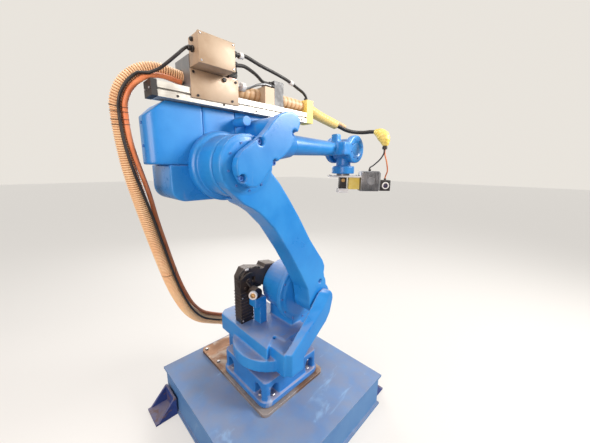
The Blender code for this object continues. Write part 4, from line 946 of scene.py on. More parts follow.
ribbed(
    "corrugated_hose_ribbed", CORRUGATED, cream, "lower_arm", ("corrugated_hose",),
    start_radius=HOSE_START_RADIUS, end_radius=HOSE_END_RADIUS, depth=0.0042, pitch=0.0092, sides=30,
)
ribbed(
    "taped_hose_wrapped", TAPED, peach, "upper_arm", ("taped_hose",),
    start_radius=0.032, end_radius=0.031, depth=0.0016, pitch=0.030, sides=30,
)
ribbed(
    "wrist_hose_sleeve", WRIST_HOSE, sleeve, "forearm", ("wrist_hose",),
    start_radius=0.0140, end_radius=0.0135, depth=0.0012, pitch=0.006, sides=18,
)
print("ribbed hoses ready")

# %% [markdown]
# ## Tape and a short cream hose at the wrist
#
# A lumpy roll of yellow tape closes the black sleeve at the wrist, and a short end of cream hose lies over
# the sleeve's start. The roll is a skin over rings, with a radius that swells and shrinks along its route.

# %% Tape
TAPE_WRAP = (
    (0.8480, -0.185, 1.836), (0.8430, -0.235, 1.814), (0.8420, -0.262, 1.782), (0.8420, -0.270, 1.752),
    (0.8420, -0.270, 1.733),
)
WRAP_RADII = (0.018, 0.034, 0.041, 0.034, 0.020)
WRAP_SIDES, WRAP_SPACING = 28, 0.006
LUMP_SIZE, LUMPS, LUMP_SHIFT = 0.05, 3, 1.7
CREAM_OVERLAP = ((0.606, 0.004, 1.890), (0.650, 0.002, 1.888), (0.690, 0.000, 1.880), (0.725, -0.002, 1.872))


def wrapped(name, points, radii, material, body, slot):
    """A lumpy roll of tape round a route, with its own radius at each given point."""
    route = smooth_points(points, WRAP_SPACING)
    shape = bmesh.new()
    rings = []
    for index, (place, ahead) in enumerate(zip(route, directions(route))):
        across = (Vector((1, 0, 0)) - ahead * ahead.x).normalized()
        other = ahead.cross(across)
        at = index / (len(route) - 1) * (len(radii) - 1)
        below = min(int(at), len(radii) - 2)
        radius = radii[below] + (radii[below + 1] - radii[below]) * (at - below)
        rings.append([
            shape.verts.new(place + radius * (1 + LUMP_SIZE * math.sin(LUMPS * turn + LUMP_SHIFT * index)) * (
                math.cos(turn) * across + math.sin(turn) * other
            ))
            for turn in turns_of(WRAP_SIDES)
        ])
    closed_skin(shape, rings)
    return piece(name, shape, body, material, slot, sharp=60.0)


wrapped("wrist_hose_tape", TAPE_WRAP, WRAP_RADII, yellow, "forearm", "yellow_tape")
ribbed(
    "cream_overlap", CREAM_OVERLAP, cream, "forearm",
    start_radius=0.0165, end_radius=0.0145, depth=0.0016, pitch=0.008, sides=24,
)
print("tape ready")

# %% [markdown]
# ## Cables and air hoses
#
# The two cables beside the big hose follow its route at a fixed distance. You carry one side direction along
# the route without letting it twist, and between two heights each cable goes some way round the hose.

# %% Cables
SIGNAL_FREE = (
    (-0.4505, -0.105, 2.025), (-0.475, -0.105, 2.025), (-0.515, -0.100, 1.987), (-0.540, -0.080, 1.962),
    (-0.560, -0.042, 1.944), (-0.588, -0.012, 1.930),
)
SIGNAL_SIDE, ORANGE_SIDE = (0.0, -0.99, -0.16), (0.0, -0.74, -0.67)
HOSE_RADIUS, SIGNAL_RADIUS, ORANGE_RADIUS, STRAP_GAP = 0.031, 0.006, 0.010, 0.001
JOIN_X = -0.61
BOX_SIDE_X, STRAPPED_BELOW = -0.4505, 1.58
STRAPPED_SPACING, FREE_SPACING, THIN_SPACING = 0.02, 0.015, 0.01
TURN_START, TURN_END, SIGNAL_TURN, ORANGE_TURN = 1.74, 1.28, -42, -78


def beside(route, side, radius, lower_turn):
    """A cable's route beside the hose. Between two heights it goes round the hose by lower_turn degrees."""
    moved = []
    for place, ahead, side in carried(route, Vector(side)):
        share = min(1.0, max(0.0, (TURN_START - place.z) / (TURN_START - TURN_END)))
        angle = math.radians(lower_turn) * share * share * (3 - 2 * share)
        moved.append(place + Matrix.Rotation(angle, 3, ahead) @ side * (HOSE_RADIUS + radius + STRAP_GAP))
    return moved


def cable(name, route, radius, material, body, slot, replaced, sides=14):
    """A smooth cable along a route, as a piece of its own."""
    shape = bmesh.new()
    add_tube(shape, route, radius, sides)
    return piece(name, shape, body, material, slot, replaced, sharp=50.0)


hose_route = smooth_points(CORRUGATED, STRAPPED_SPACING)
strapped_route = [place for place in hose_route if place.x < BOX_SIDE_X or place.z < STRAPPED_BELOW]
orange_route = beside(strapped_route, ORANGE_SIDE, ORANGE_RADIUS, ORANGE_TURN)
beside_route = beside(strapped_route, SIGNAL_SIDE, SIGNAL_RADIUS, SIGNAL_TURN)
joined_from = next(index for index, place in enumerate(beside_route) if place.x < JOIN_X)
signal_route = smooth_points(SIGNAL_FREE, FREE_SPACING) + beside_route[joined_from:]
cable(
    "orange_cable_sheath", orange_route, ORANGE_RADIUS, orange, "lower_arm", "orange_hose", ("orange_cable",),
)
cable(
    "signal_cable_sheath", signal_route, SIGNAL_RADIUS, black, "lower_arm", "black_plastic",
    ("signal_cable",),
)
# Each thin cable: solid, finish, body, slot, radius and route.
THIN = (
    ("tool_cable", orange, "tool", "orange_hose", 0.005, (
        (0.849, -0.270, 1.7097), (0.849, -0.270, 1.680), (0.868, -0.280, 1.620), (0.910, -0.270, 1.560),
        (0.952, -0.240, 1.525), (0.9605, -0.2305, 1.505), (0.9605, -0.2305, 1.4904),
    )),
    ("motor_cable", black, "tool", "black_plastic", 0.005, (
        (0.835, -0.270, 1.7097), (0.835, -0.270, 1.680), (0.835, -0.245, 1.640), (0.850, -0.190, 1.600),
        (0.875, -0.145, 1.580), (0.875, -0.145, 1.5554),
    )),
    ("air_hose_upper", black, "upper_arm", "black_plastic", 0.008, (
        (-0.2897, -0.120, 2.051), (-0.265, -0.120, 2.051), (-0.207, -0.105, 2.063), (-0.108, -0.085, 2.056),
        (0.003, -0.075, 2.046), (0.098, -0.065, 2.034), (0.187, -0.045, 2.020), (0.245, -0.030, 2.012),
        (0.272, -0.030, 1.992), (0.272, -0.030, 1.9706),
    )),
    ("air_hose_lower", black, "upper_arm", "black_plastic", 0.008, (
        (-0.2897, -0.120, 2.010), (-0.265, -0.120, 2.010), (-0.208, -0.100, 2.022), (-0.120, -0.060, 2.020),
        (-0.060, -0.035, 2.006), (-0.030, -0.035, 2.004), (-0.0008, -0.035, 2.004),
    )),
    ("gauge_hose", grey, "upper_arm", "grey_metal", 0.006, (
        (-0.1704, -0.035, 1.957), (-0.150, -0.035, 1.957), (-0.105, -0.048, 1.978), (-0.060, -0.052, 1.990),
        (-0.030, -0.052, 1.990), (-0.0008, -0.052, 1.990),
    )),
)
for name, material, body, slot, radius, points in THIN:
    cable(name + "_skin", smooth_points(points, THIN_SPACING), radius, material, body, slot, (name,))
print("cables", 2 + len(THIN))

# %% [markdown]
# ## Screws
#
# Every screw on a body is a copy of one turned head. A Geometry Nodes group puts the head on each point, so
# you only list where the screws go.


# %% Screws
def screw_nodes():
    """The group that puts a screw head on each point of a mesh."""
    tree, given, result = new_group(
        "ScrewsOnPoints", "Geometry", (GEOMETRY, ("Head", "Object"), ("Material", "Material")), GEOMETRY,
    )
    head = put(tree, "GeometryNodeObjectInfo", Object=given.outputs["Head"])
    points = put(tree, "GeometryNodeMeshToPoints", Mesh=given.outputs["Geometry"])
    copies = put(
        tree, "GeometryNodeInstanceOnPoints", Points=points.outputs["Points"],
        Instance=head.outputs["Geometry"],
    )
    real = put(tree, "GeometryNodeRealizeInstances", Geometry=copies.outputs["Instances"])
    finished = put(
        tree, "GeometryNodeSetMaterial", Geometry=real.outputs["Geometry"],
        Material=given.outputs["Material"],
    )
    tree.links.new(finished.outputs["Geometry"], result.inputs["Geometry"])
    return tree


screw_tree = screw_nodes()
SOCKET_HEAD = ((0.0, 0.35), (0.52, 0.35), (0.55, 0.85), (0.88, 0.85), (1.0, 0.72), (1.0, 0.0), (0.0, 0.0))
WASHER = ((0.0, 0.0), (1.45, 0.0), (1.45, 0.16), (1.38, 0.2), (0.0, 0.2))
HEX_HEAD = ((0.0, 0.2), (1.1, 0.2), (1.1, 0.78), (0.95, 0.9), (0.0, 0.9))


def screws(name, body, direction, radius, places, material=bolt_steel, hexagon=False):
    """One object with a screw head at each place, facing the given direction."""
    shape = bmesh.new()
    for profile, steps in ((WASHER, 24), (HEX_HEAD, 6)) if hexagon else ((SOCKET_HEAD, 18),):
        add_turned(shape, (0.0, 0.0, 0.0), direction, [(r * radius, h * radius) for r, h in profile], steps)
    bmesh.ops.recalc_face_normals(shape, faces=shape.faces[:])
    head_mesh = bpy.data.meshes.new("head")
    shape.to_mesh(head_mesh)
    shape.free()
    head = linked("head", head_mesh)
    points = bpy.data.meshes.new(name)
    points.from_pydata([tuple(place) for place in places], [], [])
    made = with_nodes(linked(name, points), screw_tree, {"Head": head, "Material": material})
    bpy.data.objects.remove(head)
    made.data.shade_smooth()
    made.data.set_sharp_from_angle(angle=math.radians(32.0))
    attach(made, body)
    return made


def around(centre, y, radius, angles):
    """Places on a circle that stands across the Y axis, at the given angles in degrees."""
    return [
        (centre[0] + radius * math.cos(math.radians(a)), y, centre[1] + radius * math.sin(math.radians(a)))
        for a in angles
    ]


print("screw group", screw_tree.name)

# %% [markdown]
# The screws close the flanges, the link plate, the casings and the small boxes. Circles of them are worked
# out from the axes of the arm, and the others are listed.

# %% Screws on the arm
BACK, FRONT, UP, REAR, AHEAD = (0, 1, 0), (0, -1, 0), (0, 0, 1), (-1, 0, 0), (1, 0, 0)
ELBOW, SHOULDER, WRIST = (-0.31, 1.58), (0.19, 0.79), (0.73, 1.71)
FLANGE_ANGLES = (128, 138, 198, 254, 300, 330, 0, 30, 60, 168, 226)
RING_ANGLES = (110, 149, 190, 230, 270, 310)
LINK_PLACES = ((0.033, 0.102), (-0.060, -0.0465), (0.222, 0.143), (0.111, 0.0165))
FOOT_PLACES = ((0.145, 0.195), (0.195, 0.145))
PLATE_PLACES = ((-0.424, 1.869), (-0.260, 1.873), (-0.438, 1.957), (-0.239, 1.957))
CASING_PLACES = ((-0.465, 0.010), (-0.465, 0.25), (-0.30, 0.25))
SIDES = (-1, 1)
# Each set: body, the way the heads face, radius, places, then a finish and whether they are hexagons.
SCREWS = {
    "elbow_flange_screws": (
        "upper_arm", FRONT, 0.0062, around(ELBOW, -0.0583, 0.149, FLANGE_ANGLES), painted_bolt,
    ),
    "elbow_ring_screws": (
        "lower_arm", FRONT, 0.0050, around(ELBOW, -0.2535, 0.100, RING_ANGLES), painted_bolt,
    ),
    "link_screws": (
        "upper_arm", FRONT, 0.0115, [(ELBOW[0] + dx, -0.2775, ELBOW[1] + dz) for dx, dz in LINK_PLACES],
        painted_bolt,
    ),
    "shoulder_flange_screws": (
        "turret", FRONT, 0.0065, around(SHOULDER, -0.105, 0.183, range(0, 360, 30)), painted_bolt,
    ),
    "wrist_screws_front": ("wrist", FRONT, 0.0046, around(WRIST, -0.0842, 0.042, range(20, 380, 60))),
    "fork_screws_front": (
        "forearm", FRONT, 0.0050, around(WRIST, -0.1125, 0.066, range(15, 375, 45)), painted_bolt,
    ),
    "fork_screws_back": (
        "forearm", BACK, 0.0050, around(WRIST, 0.1125, 0.066, range(15, 375, 45)), painted_bolt,
    ),
    "nose_screws": (
        "upper_arm", AHEAD, 0.0045,
        [(0.1604, y, z) for y, _, z in around((0.0, WRIST[1]), 0.0, 0.066, range(0, 360, 45))], painted_bolt,
    ),
    "foot_bolts": (
        "base", UP, 0.0125,
        [(sx * x, sy * y, 0.2825) for x, y in FOOT_PLACES for sx in SIDES for sy in SIDES], bolt_steel, True,
    ),
    "sole_plate_bolts": (
        "base", UP, 0.0100, [(sx * 0.222, y, 0.248) for sx in SIDES for y in (0.30, 0.475)], bolt_steel, True,
    ),
    "rail_screws": (
        "upper_arm", FRONT, 0.0045, [(x, -0.0600, 1.8523) for x in (-0.505, -0.30, -0.12, 0.03, 0.205)],
        dark_bolt,
    ),
    "plate_screws": ("upper_arm", FRONT, 0.0052, [(x, -0.0663, z) for x, z in PLATE_PLACES], dark_bolt),
    "box_screws": (
        "upper_arm", FRONT, 0.0036, [(x, -0.1500, z) for x in (-0.441, -0.299) for z in (1.9776, 2.0696)],
    ),
    "casing_screws": ("upper_arm", UP, 0.0060, [(x, y, 1.8398) for x, y in CASING_PLACES]),
    "casing_rear_screws": (
        "upper_arm", REAR, 0.0060, [(-0.6215, 0.030, z) for z in (1.66, 1.75)], painted_bolt,
    ),
    "cap_screws": ("upper_arm", REAR, 0.0042, [(-0.6023, y, 1.868) for y in (-0.045, 0.005)]),
    "clamp_screws": (
        "upper_arm", UP, 0.0050, [(x, y, 1.9803) for x in (-0.050, -0.014) for y in (-0.048, 0.038)],
        dark_bolt,
    ),
}
for name, values in SCREWS.items():
    screws(name, *values)
print("screws placed", len(SCREWS))

# %% [markdown]
# ## The slotted rail
#
# The rail is an aluminium extrusion with T-shaped slots. You draw its section once, slots and all, and
# extrude it along the rail, as the press does.

# %% Rail
SLOT_MOUTH, SLOT_LIP, SLOT_HALF, SLOT_DEPTH = 0.004, 0.003, 0.008, 0.009
HALF_SLOT = ((SLOT_MOUTH, 0.0), (SLOT_MOUTH, SLOT_LIP), (SLOT_HALF, SLOT_LIP), (SLOT_HALF, SLOT_DEPTH))
WIDE_SIDE, NARROW_SIDE = (0.25, 0.75), (0.5,)


def slotted_side(start, end, centres):
    """One side of the profile, walked from start to end, with a T slot at each share of its length."""
    start, end = Vector(start), Vector(end)
    ahead = (end - start).normalized()
    inward = Vector((-ahead.y, ahead.x))
    points = [start]
    for share in centres:
        middle = start.lerp(end, share)
        for side, depth in [(-side, depth) for side, depth in HALF_SLOT] + list(reversed(HALF_SLOT)):
            points.append(middle + ahead * side + inward * depth)
    return points


rail_low, rail_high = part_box("hose_rail")
corners = [
    (rail_low.y, rail_low.z), (rail_high.y, rail_low.z), (rail_high.y, rail_high.z),
    (rail_low.y, rail_high.z),
]
outline = []
for start, end, centres in zip(corners, corners[1:] + corners[:1], (WIDE_SIDE, NARROW_SIDE) * 2):
    outline += slotted_side(start, end, centres)
shape = bmesh.new()
add_prism(shape, outline, rail_low.x, rail_high.x, 0)
piece("hose_rail_profile", shape, "upper_arm", aluminium, "aluminium", ("hose_rail",))
print("rail outline", len(outline), "points")

# %% [markdown]
# ## The saddle under the rail
#
# The photograph shows blue paint between the forearm head and the rail, so a low block fills that gap.

# %% Saddle
SADDLE_WIDTH, SADDLE_SINK, RAIL_GAP = 0.095, 0.020, 0.0005
head_low, head_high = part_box("forearm_head")
shape = bmesh.new()
add_box(
    shape, (head_low.x + 0.001, head_low.y, head_high.z - SADDLE_SINK),
    (head_high.x, head_low.y + SADDLE_WIDTH, rail_low.z - RAIL_GAP), 0.006,
)
piece("rail_saddle", shape, "upper_arm", paint, "robot_paint")
print("rail saddle", round(rail_low.z - head_high.z, 4), "m high")

# %% [markdown]
# ## Control box, carriage plate and glands
#
# The control box is a folded body with a separate lid. Rings at its sides are the cable glands: a six-sided
# nut with a domed ring before it. Two white unions join the upper air hose.

# %% Box, plate, glands
LID_DEPTH, LID_GAP, LID_OVERHANG = 0.0115, 0.001, 0.001
SIGNAL_BORE, AIR_BORE = 0.0062, 0.0082
# Each union: place, direction, outer radius and length.
UNIONS = (
    ((0.104, -0.0635, 2.033), (0.98, 0.12, -0.15), 0.0125, 0.026),
    ((-0.252, -0.1165, 2.0525), (0.96, 0.22, 0.17), 0.0135, 0.024),
)


def add_gland(target, place, way, bore, nut, nut_length, dome, dome_length):
    """A cable gland: a six-sided nut with a domed ring before it. nut and dome are radii."""
    add_ring(target, place, way, bore, nut, nut_length, steps=6)
    add_ring(target, Vector(place) + Vector(way) * nut_length, way, bore, dome, dome_length, 0.003)


low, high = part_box("control_box")
shape = bmesh.new()
add_box(
    shape, (low.x + 0.0012, low.y + LID_DEPTH + LID_GAP, low.z + LID_OVERHANG),
    (high.x - 0.0012, high.y, high.z - LID_OVERHANG), 0.003,
)
add_box(shape, low, (high.x, low.y + LID_DEPTH, high.z), 0.0022)
piece("control_box_case", shape, "upper_arm", sand, "sand_sheet", ("control_box",))
shape = bmesh.new()
add_box(shape, *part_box("carriage_plate"), 0.0012)
piece("carriage_plate_sheet", shape, "upper_arm", sand, "sand_sheet", ("carriage_plate",))
shape = bmesh.new()
add_gland(shape, (-0.4503, -0.105, 2.025), REAR, SIGNAL_BORE, 0.0125, 0.008, 0.0100, 0.014)
for z in (2.051, 2.010):
    add_gland(shape, (-0.2897, -0.120, z), AHEAD, AIR_BORE, 0.0145, 0.009, 0.0120, 0.016)
add_turned(
    shape, (-0.4490, -0.10, 2.061), REAR, ((0, 0), (0.0085, 0), (0.0085, 0.006), (0.006, 0.010), (0, 0.010)),
)
add_turned(
    shape, (-0.298, -0.0664, 1.955), FRONT, ((0, 0), (0.009, 0), (0.009, 0.006), (0.0075, 0.008), (0, 0.008)),
)
add_ring(shape, (0.272, -0.030, 1.9706), UP, AIR_BORE, 0.0125, 0.014)
for y, z, bore in ((-0.035, 2.004, AIR_BORE), (-0.052, 1.990, SIGNAL_BORE)):
    add_ring(shape, (-0.0010, y, z), REAR, bore, bore + 0.0035, 0.016, 0.0008)
piece("box_glands", shape, "upper_arm", black, "black_plastic")
shape = bmesh.new()
for place, way, radius, length in UNIONS:
    add_ring(shape, place, way, AIR_BORE, radius, length, 0.002)
piece("hose_union", shape, "upper_arm", white, "white_paint")
print("box dressed")

# %% [markdown]
# ## Valve and gauge
#
# The valve is a stack of blocks with a finned solenoid on top. The gauge is a turned shell, and nine small
# boxes are the marks on its dial.

# %% Valve and gauge
BASE_TOP, COLLAR_TOP, SEAM, SOLENOID_CAP = 0.038, 0.052, 0.001, 0.010
FIN_LEVELS, FIN_HEIGHT, FIN_REACH = (0.060, 0.066, 0.072, 0.078), 0.003, 0.0015
PORT = ((0, 0), (0.0065, 0), (0.0065, 0.004), (0.005, 0.005), (0, 0.005))
KNOB = ((0, 0), (0.006, 0), (0.0075, 0.002), (0.0075, 0.012), (0, 0.012))
GAUGE = (
    (0, 0), (0.0055, 0), (0.0055, 0.008), (0.0080, 0.009), (0.0080, 0.018), (0.0055, 0.019), (0.0055, 0.029),
    (0.0160, 0.030), (0.0192, 0.033), (0.0192, 0.050), (0.0200, 0.051), (0.0200, 0.054), (0.0178, 0.054),
    (0.0175, 0.0515), (0, 0.0515),
)
TICKS, FIRST_TICK, TICK_STEP = 9, -45, 33.75

low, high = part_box("valve_block")
middle = (low + high) / 2
shape = bmesh.new()
add_box(shape, low, (high.x, high.y, low.z + BASE_TOP), 0.0020)
add_box(
    shape, (low.x + 0.003, low.y + 0.003, low.z + BASE_TOP + SEAM),
    (high.x - 0.003, high.y - 0.003, low.z + COLLAR_TOP), 0.0015,
)
for x in (low.x + 0.012, high.x - 0.012):
    add_turned(shape, (x, low.y, low.z + BASE_TOP / 2), FRONT, PORT)
piece("valve_body", shape, "upper_arm", pink, "black_plastic", ("valve_block",))
shape = bmesh.new()
add_box(shape, (low.x, low.y, low.z + COLLAR_TOP + SEAM), (high.x, high.y, high.z - SOLENOID_CAP), 0.003)
add_box(
    shape, (low.x + 0.008, low.y + 0.006, high.z - SOLENOID_CAP), (high.x - 0.008, high.y - 0.006, high.z),
    0.002,
)
for level in FIN_LEVELS:
    add_box(
        shape, (low.x - FIN_REACH, low.y - FIN_REACH, low.z + level),
        (high.x + FIN_REACH, high.y, low.z + level + FIN_HEIGHT), 0.0008,
    )
add_turned(shape, (low.x - 0.012, middle.y, high.z - 0.030), AHEAD, KNOB)
piece("valve_solenoid", shape, "upper_arm", black, "black_plastic")
low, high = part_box("pressure_gauge")
centre_y, centre_z = (low.y + high.y) / 2, (low.z + high.z) / 2
shape = bmesh.new()
add_turned(shape, (low.x, centre_y, centre_z), AHEAD, GAUGE)
for step in range(TICKS):
    angle = math.radians(FIRST_TICK + TICK_STEP * step)
    tick = Matrix.Translation((high.x - 0.0030, centre_y, centre_z)) @ Matrix.Rotation(angle, 4, "X")
    add_box(shape, (0, 0.0125, -0.0004), (0.0006, 0.0165, 0.0004), 0, tick)
piece("gauge_shell", shape, "upper_arm", white, "aluminium", ("pressure_gauge",))
print("valve and gauge ready")

# %% [markdown]
# ## Ties round the hose
#
# A tie is a thin loop pulled tight round the hose and its two cables. Its shape is the hull of their three
# circles, drawn across the hose.

# %% Ties
TIE_HEIGHTS = (1.815, 1.790, 1.768, 1.748, 1.030)
TIE_RADIUS, TIE_SINK, TIE_SAMPLES, TIES_REAR_OF = 0.0012, 0.0001, 28, -0.45

shape = bmesh.new()
for height in TIE_HEIGHTS:
    index = next(i for i, place in enumerate(strapped_route) if place.z < height and place.x < TIES_REAR_OF)
    ahead = (strapped_route[index + 1] - strapped_route[index - 1]).normalized()
    first = ahead.orthogonal().normalized()
    second = ahead.cross(first)
    centre = strapped_route[index]
    samples = []
    near, beside_near = (
        min(route, key=lambda place: (place - centre).length) for route in (orange_route, signal_route)
    )
    for middle, radius in ((centre, HOSE_START_RADIUS), (near, ORANGE_RADIUS), (beside_near, SIGNAL_RADIUS)):
        offset = middle - centre
        samples += [
            (
                offset.dot(first) + (radius - TIE_SINK) * math.cos(angle),
                offset.dot(second) + (radius - TIE_SINK) * math.sin(angle),
            )
            for angle in turns_of(TIE_SAMPLES)
        ]
    loop = [centre + first * samples[i][0] + second * samples[i][1] for i in convex_hull_2d(samples)]
    add_tube(shape, loop + loop[:1], TIE_RADIUS, 6)
piece("hose_ties", shape, "lower_arm", black, "black_plastic", sharp=60.0)
print("ties", len(TIE_HEIGHTS))

# %% [markdown]
# ## The tool
#
# The tool hangs turned by 45 degrees. You build it along its own axes and turn it into place with one matrix.
# Its motor has fins, its camera a ring round the lens, and its block a stack of thin plates.

# %% Tool
TOOL = Matrix.Translation((WRIST[0], 0.0, 0.0)) @ Matrix.Rotation(math.radians(-45.0), 4, "Z")
TOOL_SIDE = tuple(TOOL.to_3x3() @ Vector((0, -1, 0)))
MOTOR_HALF, MOTOR_BOTTOM, MOTOR_TOP, MOTOR_MIDDLE = 0.055, 1.405, 1.555, 1.48
COOLING_FINS, FINS_FROM, FIN_PITCH, FIN_WIDTH = 12, 0.146, 0.0105, 0.0035
BLOCK_HALF, PLATE_HALF, PLATE_LEVELS = 0.0275, 0.029, (1.434, 1.444, 1.454)
LENS = (0.3206, -0.0338, 1.4475)
MOTOR_CAP = ((0, 0), (0.03, 0), (0.03, 0.006), (0.027, 0.009), (0, 0.009))
LENS_DOME = ((0, 0), (0.0183, 0), (0.0183, 0.002), (0.012, 0.0046), (0, 0.0056))
NUT = ((0, 0), (0.0150, 0), (0.0150, 0.006), (0.012, 0.009), (0.006, 0.009), (0.005, 0.006), (0, 0.006))
# Each gland: place, bore, outer radius and length.
TOOL_GLANDS = (
    ((0.875, -0.145, 1.5550), 0.0052, 0.010, 0.014), ((0.9605, -0.2305, 1.4900), 0.0052, 0.009, 0.012),
    ((0.842, -0.270, 1.7090), 0.0142, 0.0175, 0.020),
)


def tool_box(shape, low, high, bevel):
    """A box along the tool's own axes."""
    add_box(shape, low, high, bevel, TOOL)


def tool_point(u, v, z):
    """A place given along the tool's own axes."""
    return tuple(TOOL @ Vector((u, v, z)))


shape = bmesh.new()
tool_box(shape, (0.1303, -MOTOR_HALF, MOTOR_BOTTOM), (0.1400, MOTOR_HALF, MOTOR_TOP), 0.003)
tool_box(shape, (0.1390, -0.046, 1.412), (0.2800, 0.046, 1.548), 0.006)
for step in range(COOLING_FINS):
    start = FINS_FROM + FIN_PITCH * step
    tool_box(shape, (start, -MOTOR_HALF, MOTOR_BOTTOM), (start + FIN_WIDTH, MOTOR_HALF, MOTOR_TOP), 0.0008)
add_turned(shape, tool_point(0.2053, -0.0455, MOTOR_MIDDLE), TOOL_SIDE, MOTOR_CAP)
piece("tool_motor_finned", shape, "tool", grey, "grey_metal", ("tool_motor",))
shape = bmesh.new()
for place, inner, outer, length in TOOL_GLANDS:
    add_ring(shape, place, UP, inner, outer, length, 0.002)
piece("tool_glands", shape, "tool", black, "black_plastic")
shape = bmesh.new()
tool_box(shape, (0.2806, -0.0340, 1.407), (0.3606, 0.0425, 1.488), 0.004)
tool_box(shape, (0.2890, 0.036, 1.420), (0.3520, 0.0425, 1.476), 0.002)
piece("tool_camera_body", shape, "tool", black, "black_plastic", ("tool_camera",))
shape = bmesh.new()
add_ring(shape, tool_point(*LENS), TOOL_SIDE, 0.0185, 0.0270, 0.0085, 0.002)
piece("tool_lens_ring", shape, "tool", white, "white_paint")
shape = bmesh.new()
add_turned(shape, tool_point(*LENS), TOOL_SIDE, LENS_DOME)
piece("tool_lens", shape, "tool", glass, "black_plastic")
shape = bmesh.new()
tool_box(shape, (-BLOCK_HALF, -BLOCK_HALF, 1.4224), (BLOCK_HALF, BLOCK_HALF, 1.5074), 0.002)
for level in PLATE_LEVELS:
    tool_box(shape, (-PLATE_HALF, -PLATE_HALF, level), (PLATE_HALF, PLATE_HALF, level + 0.004), 0.001)
piece("tool_block_body", shape, "tool", black, "black_plastic", ("tool_block",))
shape = bmesh.new()
add_turned(shape, tool_point(0.0, -0.0270, 1.4850), TOOL_SIDE, NUT)
piece("tool_bronze_nut", shape, "tool", bronze, "bare_steel")
screws("tool_plate_screws", "tool", UP, 0.0050,
       [tool_point(u, v, 1.5197) for u in (-0.095, 0.115) for v in (-0.045, 0.045)]
       + [tool_point(u, v, 1.534) for u, _, v in around((0.0, 0.0), 0.0, 0.04, range(30, 390, 60))],
       dark_bolt)
screws("tool_motor_screws", "tool", TOOL_SIDE, 0.0035,
       [tool_point(u, -MOTOR_HALF, z) for u, z in ((0.1352, 1.414), (0.1352, 1.546), (0.1350, MOTOR_MIDDLE))],
       bolt_steel)
print("tool ready")

# %% [markdown]
# ## Wrist covers
#
# Two low turned covers close the wrist's fork, one on each side.

# %% Wrist covers
COVER_Y = 0.1045
COVER = (
    (0, 0), (0.0500, 0), (0.0500, 0.0015), (0.0440, 0.0015), (0.0420, 0.004), (0.0200, 0.0055), (0, 0.0060),
)
shape = bmesh.new()
for side in SIDES:
    add_turned(shape, (WRIST[0], side * COVER_Y, WRIST[1]), (0, side, 0), COVER, 48)
piece("wrist_covers", shape, "forearm", paint, "robot_paint")
print("wrist covers ready")

# %% [markdown]
# ## Motors
#
# The motors on the turret get ribs, a terminal box with glands, four leads and a big round plug with a white
# ring and a copper middle. All of it is turned forms, boxes and tubes.

# %% Motors
RIBS, RIBS_FROM, RIB_PITCH, RIB_HEIGHT, RIB_REACH = 9, 0.03, 0.022, 0.006, 0.002
COLLARS, COLLARS_FROM, COLLAR_PITCH = 7, 0.130, 0.017
TERMINAL_BOXES = (
    ((-0.115, 0.135, 0.790), (0.040, 0.195, 0.925), 0.006),
    ((-0.100, 0.128, 0.885), (-0.050, 0.150, 0.948), 0.004),
    ((-0.030, 0.128, 0.900), (0.010, 0.150, 0.940), 0.003),
)
TERMINALS = ((-0.075, 0.865, 0.014), (-0.035, 0.850, 0.011), (0.010, 0.875, 0.012), (-0.100, 0.820, 0.009))
# Each lead: radius and route.
MOTOR_LEADS = (
    (0.0065, ((-0.128, 0.140, 0.885), (-0.138, 0.128, 0.903), (-0.140, 0.118, 0.925), (-0.118, 0.118, 0.946),
              (-0.085, 0.124, 0.950), (-0.060, 0.132, 0.944))),
    (0.0065, ((-0.118, 0.130, 0.885), (-0.128, 0.112, 0.895), (-0.112, 0.104, 0.915), (-0.080, 0.108, 0.922),
              (-0.045, 0.118, 0.915), (-0.020, 0.132, 0.920))),
    (0.0055, ((-0.060, 0.132, 0.930), (-0.040, 0.112, 0.950), (-0.010, 0.106, 0.948), (0.012, 0.118, 0.930),
              (0.020, 0.138, 0.905))),
    (0.0045, ((-0.092, 0.126, 0.860), (-0.088, 0.106, 0.850), (-0.080, 0.098, 0.835),
              (-0.072, 0.092, 0.826))),
)
LEAD_COLLARS = (
    ((-0.128, 0.140, 0.880), UP), ((-0.118, 0.130, 0.880), UP), ((-0.060, 0.126, 0.940), (0, -1, 0.6)),
)
LEAD_SPACING = 0.006
PLUG, PLUG_WAY = (-0.088, 0.052, 0.800), (-0.75, -0.66, 0.10)
PLUG_CORE = ((0, 0), (0.0163, 0), (0.0163, 0.010), (0.011, 0.011), (0.010, 0.016), (0, 0.016))

shape = bmesh.new()
low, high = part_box("turret_motor")
for step in range(RIBS):
    level = low.z + RIBS_FROM + RIB_PITCH * step
    add_box(
        shape, (low.x - RIB_REACH, low.y - RIB_REACH, level),
        (high.x + RIB_REACH, high.y + RIB_REACH, level + RIB_HEIGHT), 0.0015,
    )
add_box(
    shape, (low.x - 0.004, low.y + 0.012, high.z - 0.060), (low.x + 0.004, high.y - 0.012, high.z - 0.018),
    0.003,
)
for step in range(COLLARS):
    place = (SHOULDER[0], COLLARS_FROM + COLLAR_PITCH * step, SHOULDER[1])
    add_ring(shape, place, BACK, 0.070, 0.0765, 0.007, 0.001, 40)
for corner, far_corner, bevel in TERMINAL_BOXES:
    add_box(shape, corner, far_corner, bevel)
for x, z, radius in TERMINALS:
    add_ring(shape, (x, 0.1352, z), FRONT, radius * 0.45, radius, 0.016, 0.002, 20)
piece("motor_ribs", shape, "turret", motor_black, "black_plastic")
shape = bmesh.new()
for radius, points in MOTOR_LEADS:
    add_tube(shape, smooth_points(points, LEAD_SPACING), radius, 12)
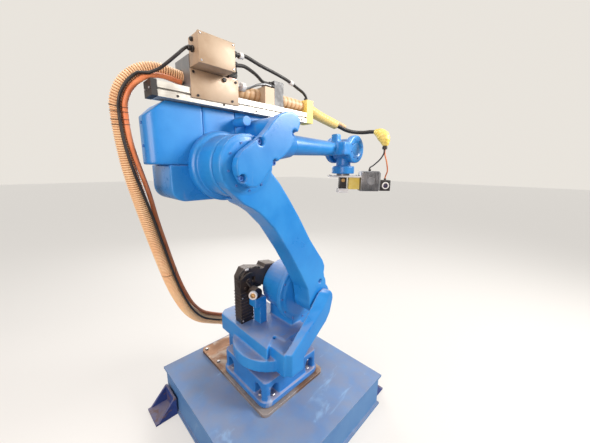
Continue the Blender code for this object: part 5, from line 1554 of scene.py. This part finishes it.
for place, way in LEAD_COLLARS:
    add_ring(shape, place, way, 0.0060, 0.0100, 0.014, 0.002, 20)
piece("motor_leads", shape, "turret", black, "black_plastic", sharp=60.0)
shape = bmesh.new()
add_box(shape, (-0.105, 0.1085, 0.944), (-0.080, 0.1135, 0.956), 0.001)
piece("lead_tag", shape, "turret", white, "white_paint")
shape = bmesh.new()
add_ring(shape, PLUG, PLUG_WAY, 0.0165, 0.0270, 0.020, 0.003, 36)
piece("motor_plug_ring", shape, "turret", white, "white_paint")
shape = bmesh.new()
add_turned(shape, PLUG, PLUG_WAY, PLUG_CORE, 24)
add_ring(shape, (-0.112, 0.1348, 0.852), FRONT, 0.004, 0.0095, 0.007, 0.001, 20)
piece("motor_copper", shape, "turret", bronze, "bare_steel")
screws("motor_screws", "turret", FRONT, 0.0055,
       [(x, y, z) for y, z in ((0.1250, 0.60), (0.1230, 0.76)) for x in (-0.124, -0.050)], bolt_steel)
print("motors ready")

# %% [markdown]
# ## Weld beads on the plinth
#
# A bead of weld runs round the plinth's frame at its top and its bottom. It is a thin tube whose route rises
# and falls a little, as a welder's hand does.

# %% Weld beads
BEAD_RADIUS, BEAD_STEP, BEAD_SINK, RIPPLE, RIPPLE_RATE = 0.0038, 0.006, 0.002, 0.0006, 1.9
frame_low, frame_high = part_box("plinth_frame")
corners = [
    (frame_low.x, frame_low.y), (frame_high.x, frame_low.y), (frame_high.x, frame_high.y),
    (frame_low.x, frame_high.y),
]
shape = bmesh.new()
for level in (frame_high.z - BEAD_SINK, frame_low.z + BEAD_SINK):
    for start, end in zip(corners, corners[1:] + corners[:1]):
        start, end = Vector((*start, level)), Vector((*end, level))
        count = int((end - start).length / BEAD_STEP)
        add_tube(shape, [
            start.lerp(end, index / count) + Vector((0, 0, RIPPLE * math.sin(index * RIPPLE_RATE)))
            for index in range(count + 1)
        ], BEAD_RADIUS, 6)
piece("plinth_welds", shape, "base", plinth_blue, "plinth_paint", sharp=60.0)
print("weld beads ready")

# %% Finish
low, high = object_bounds()
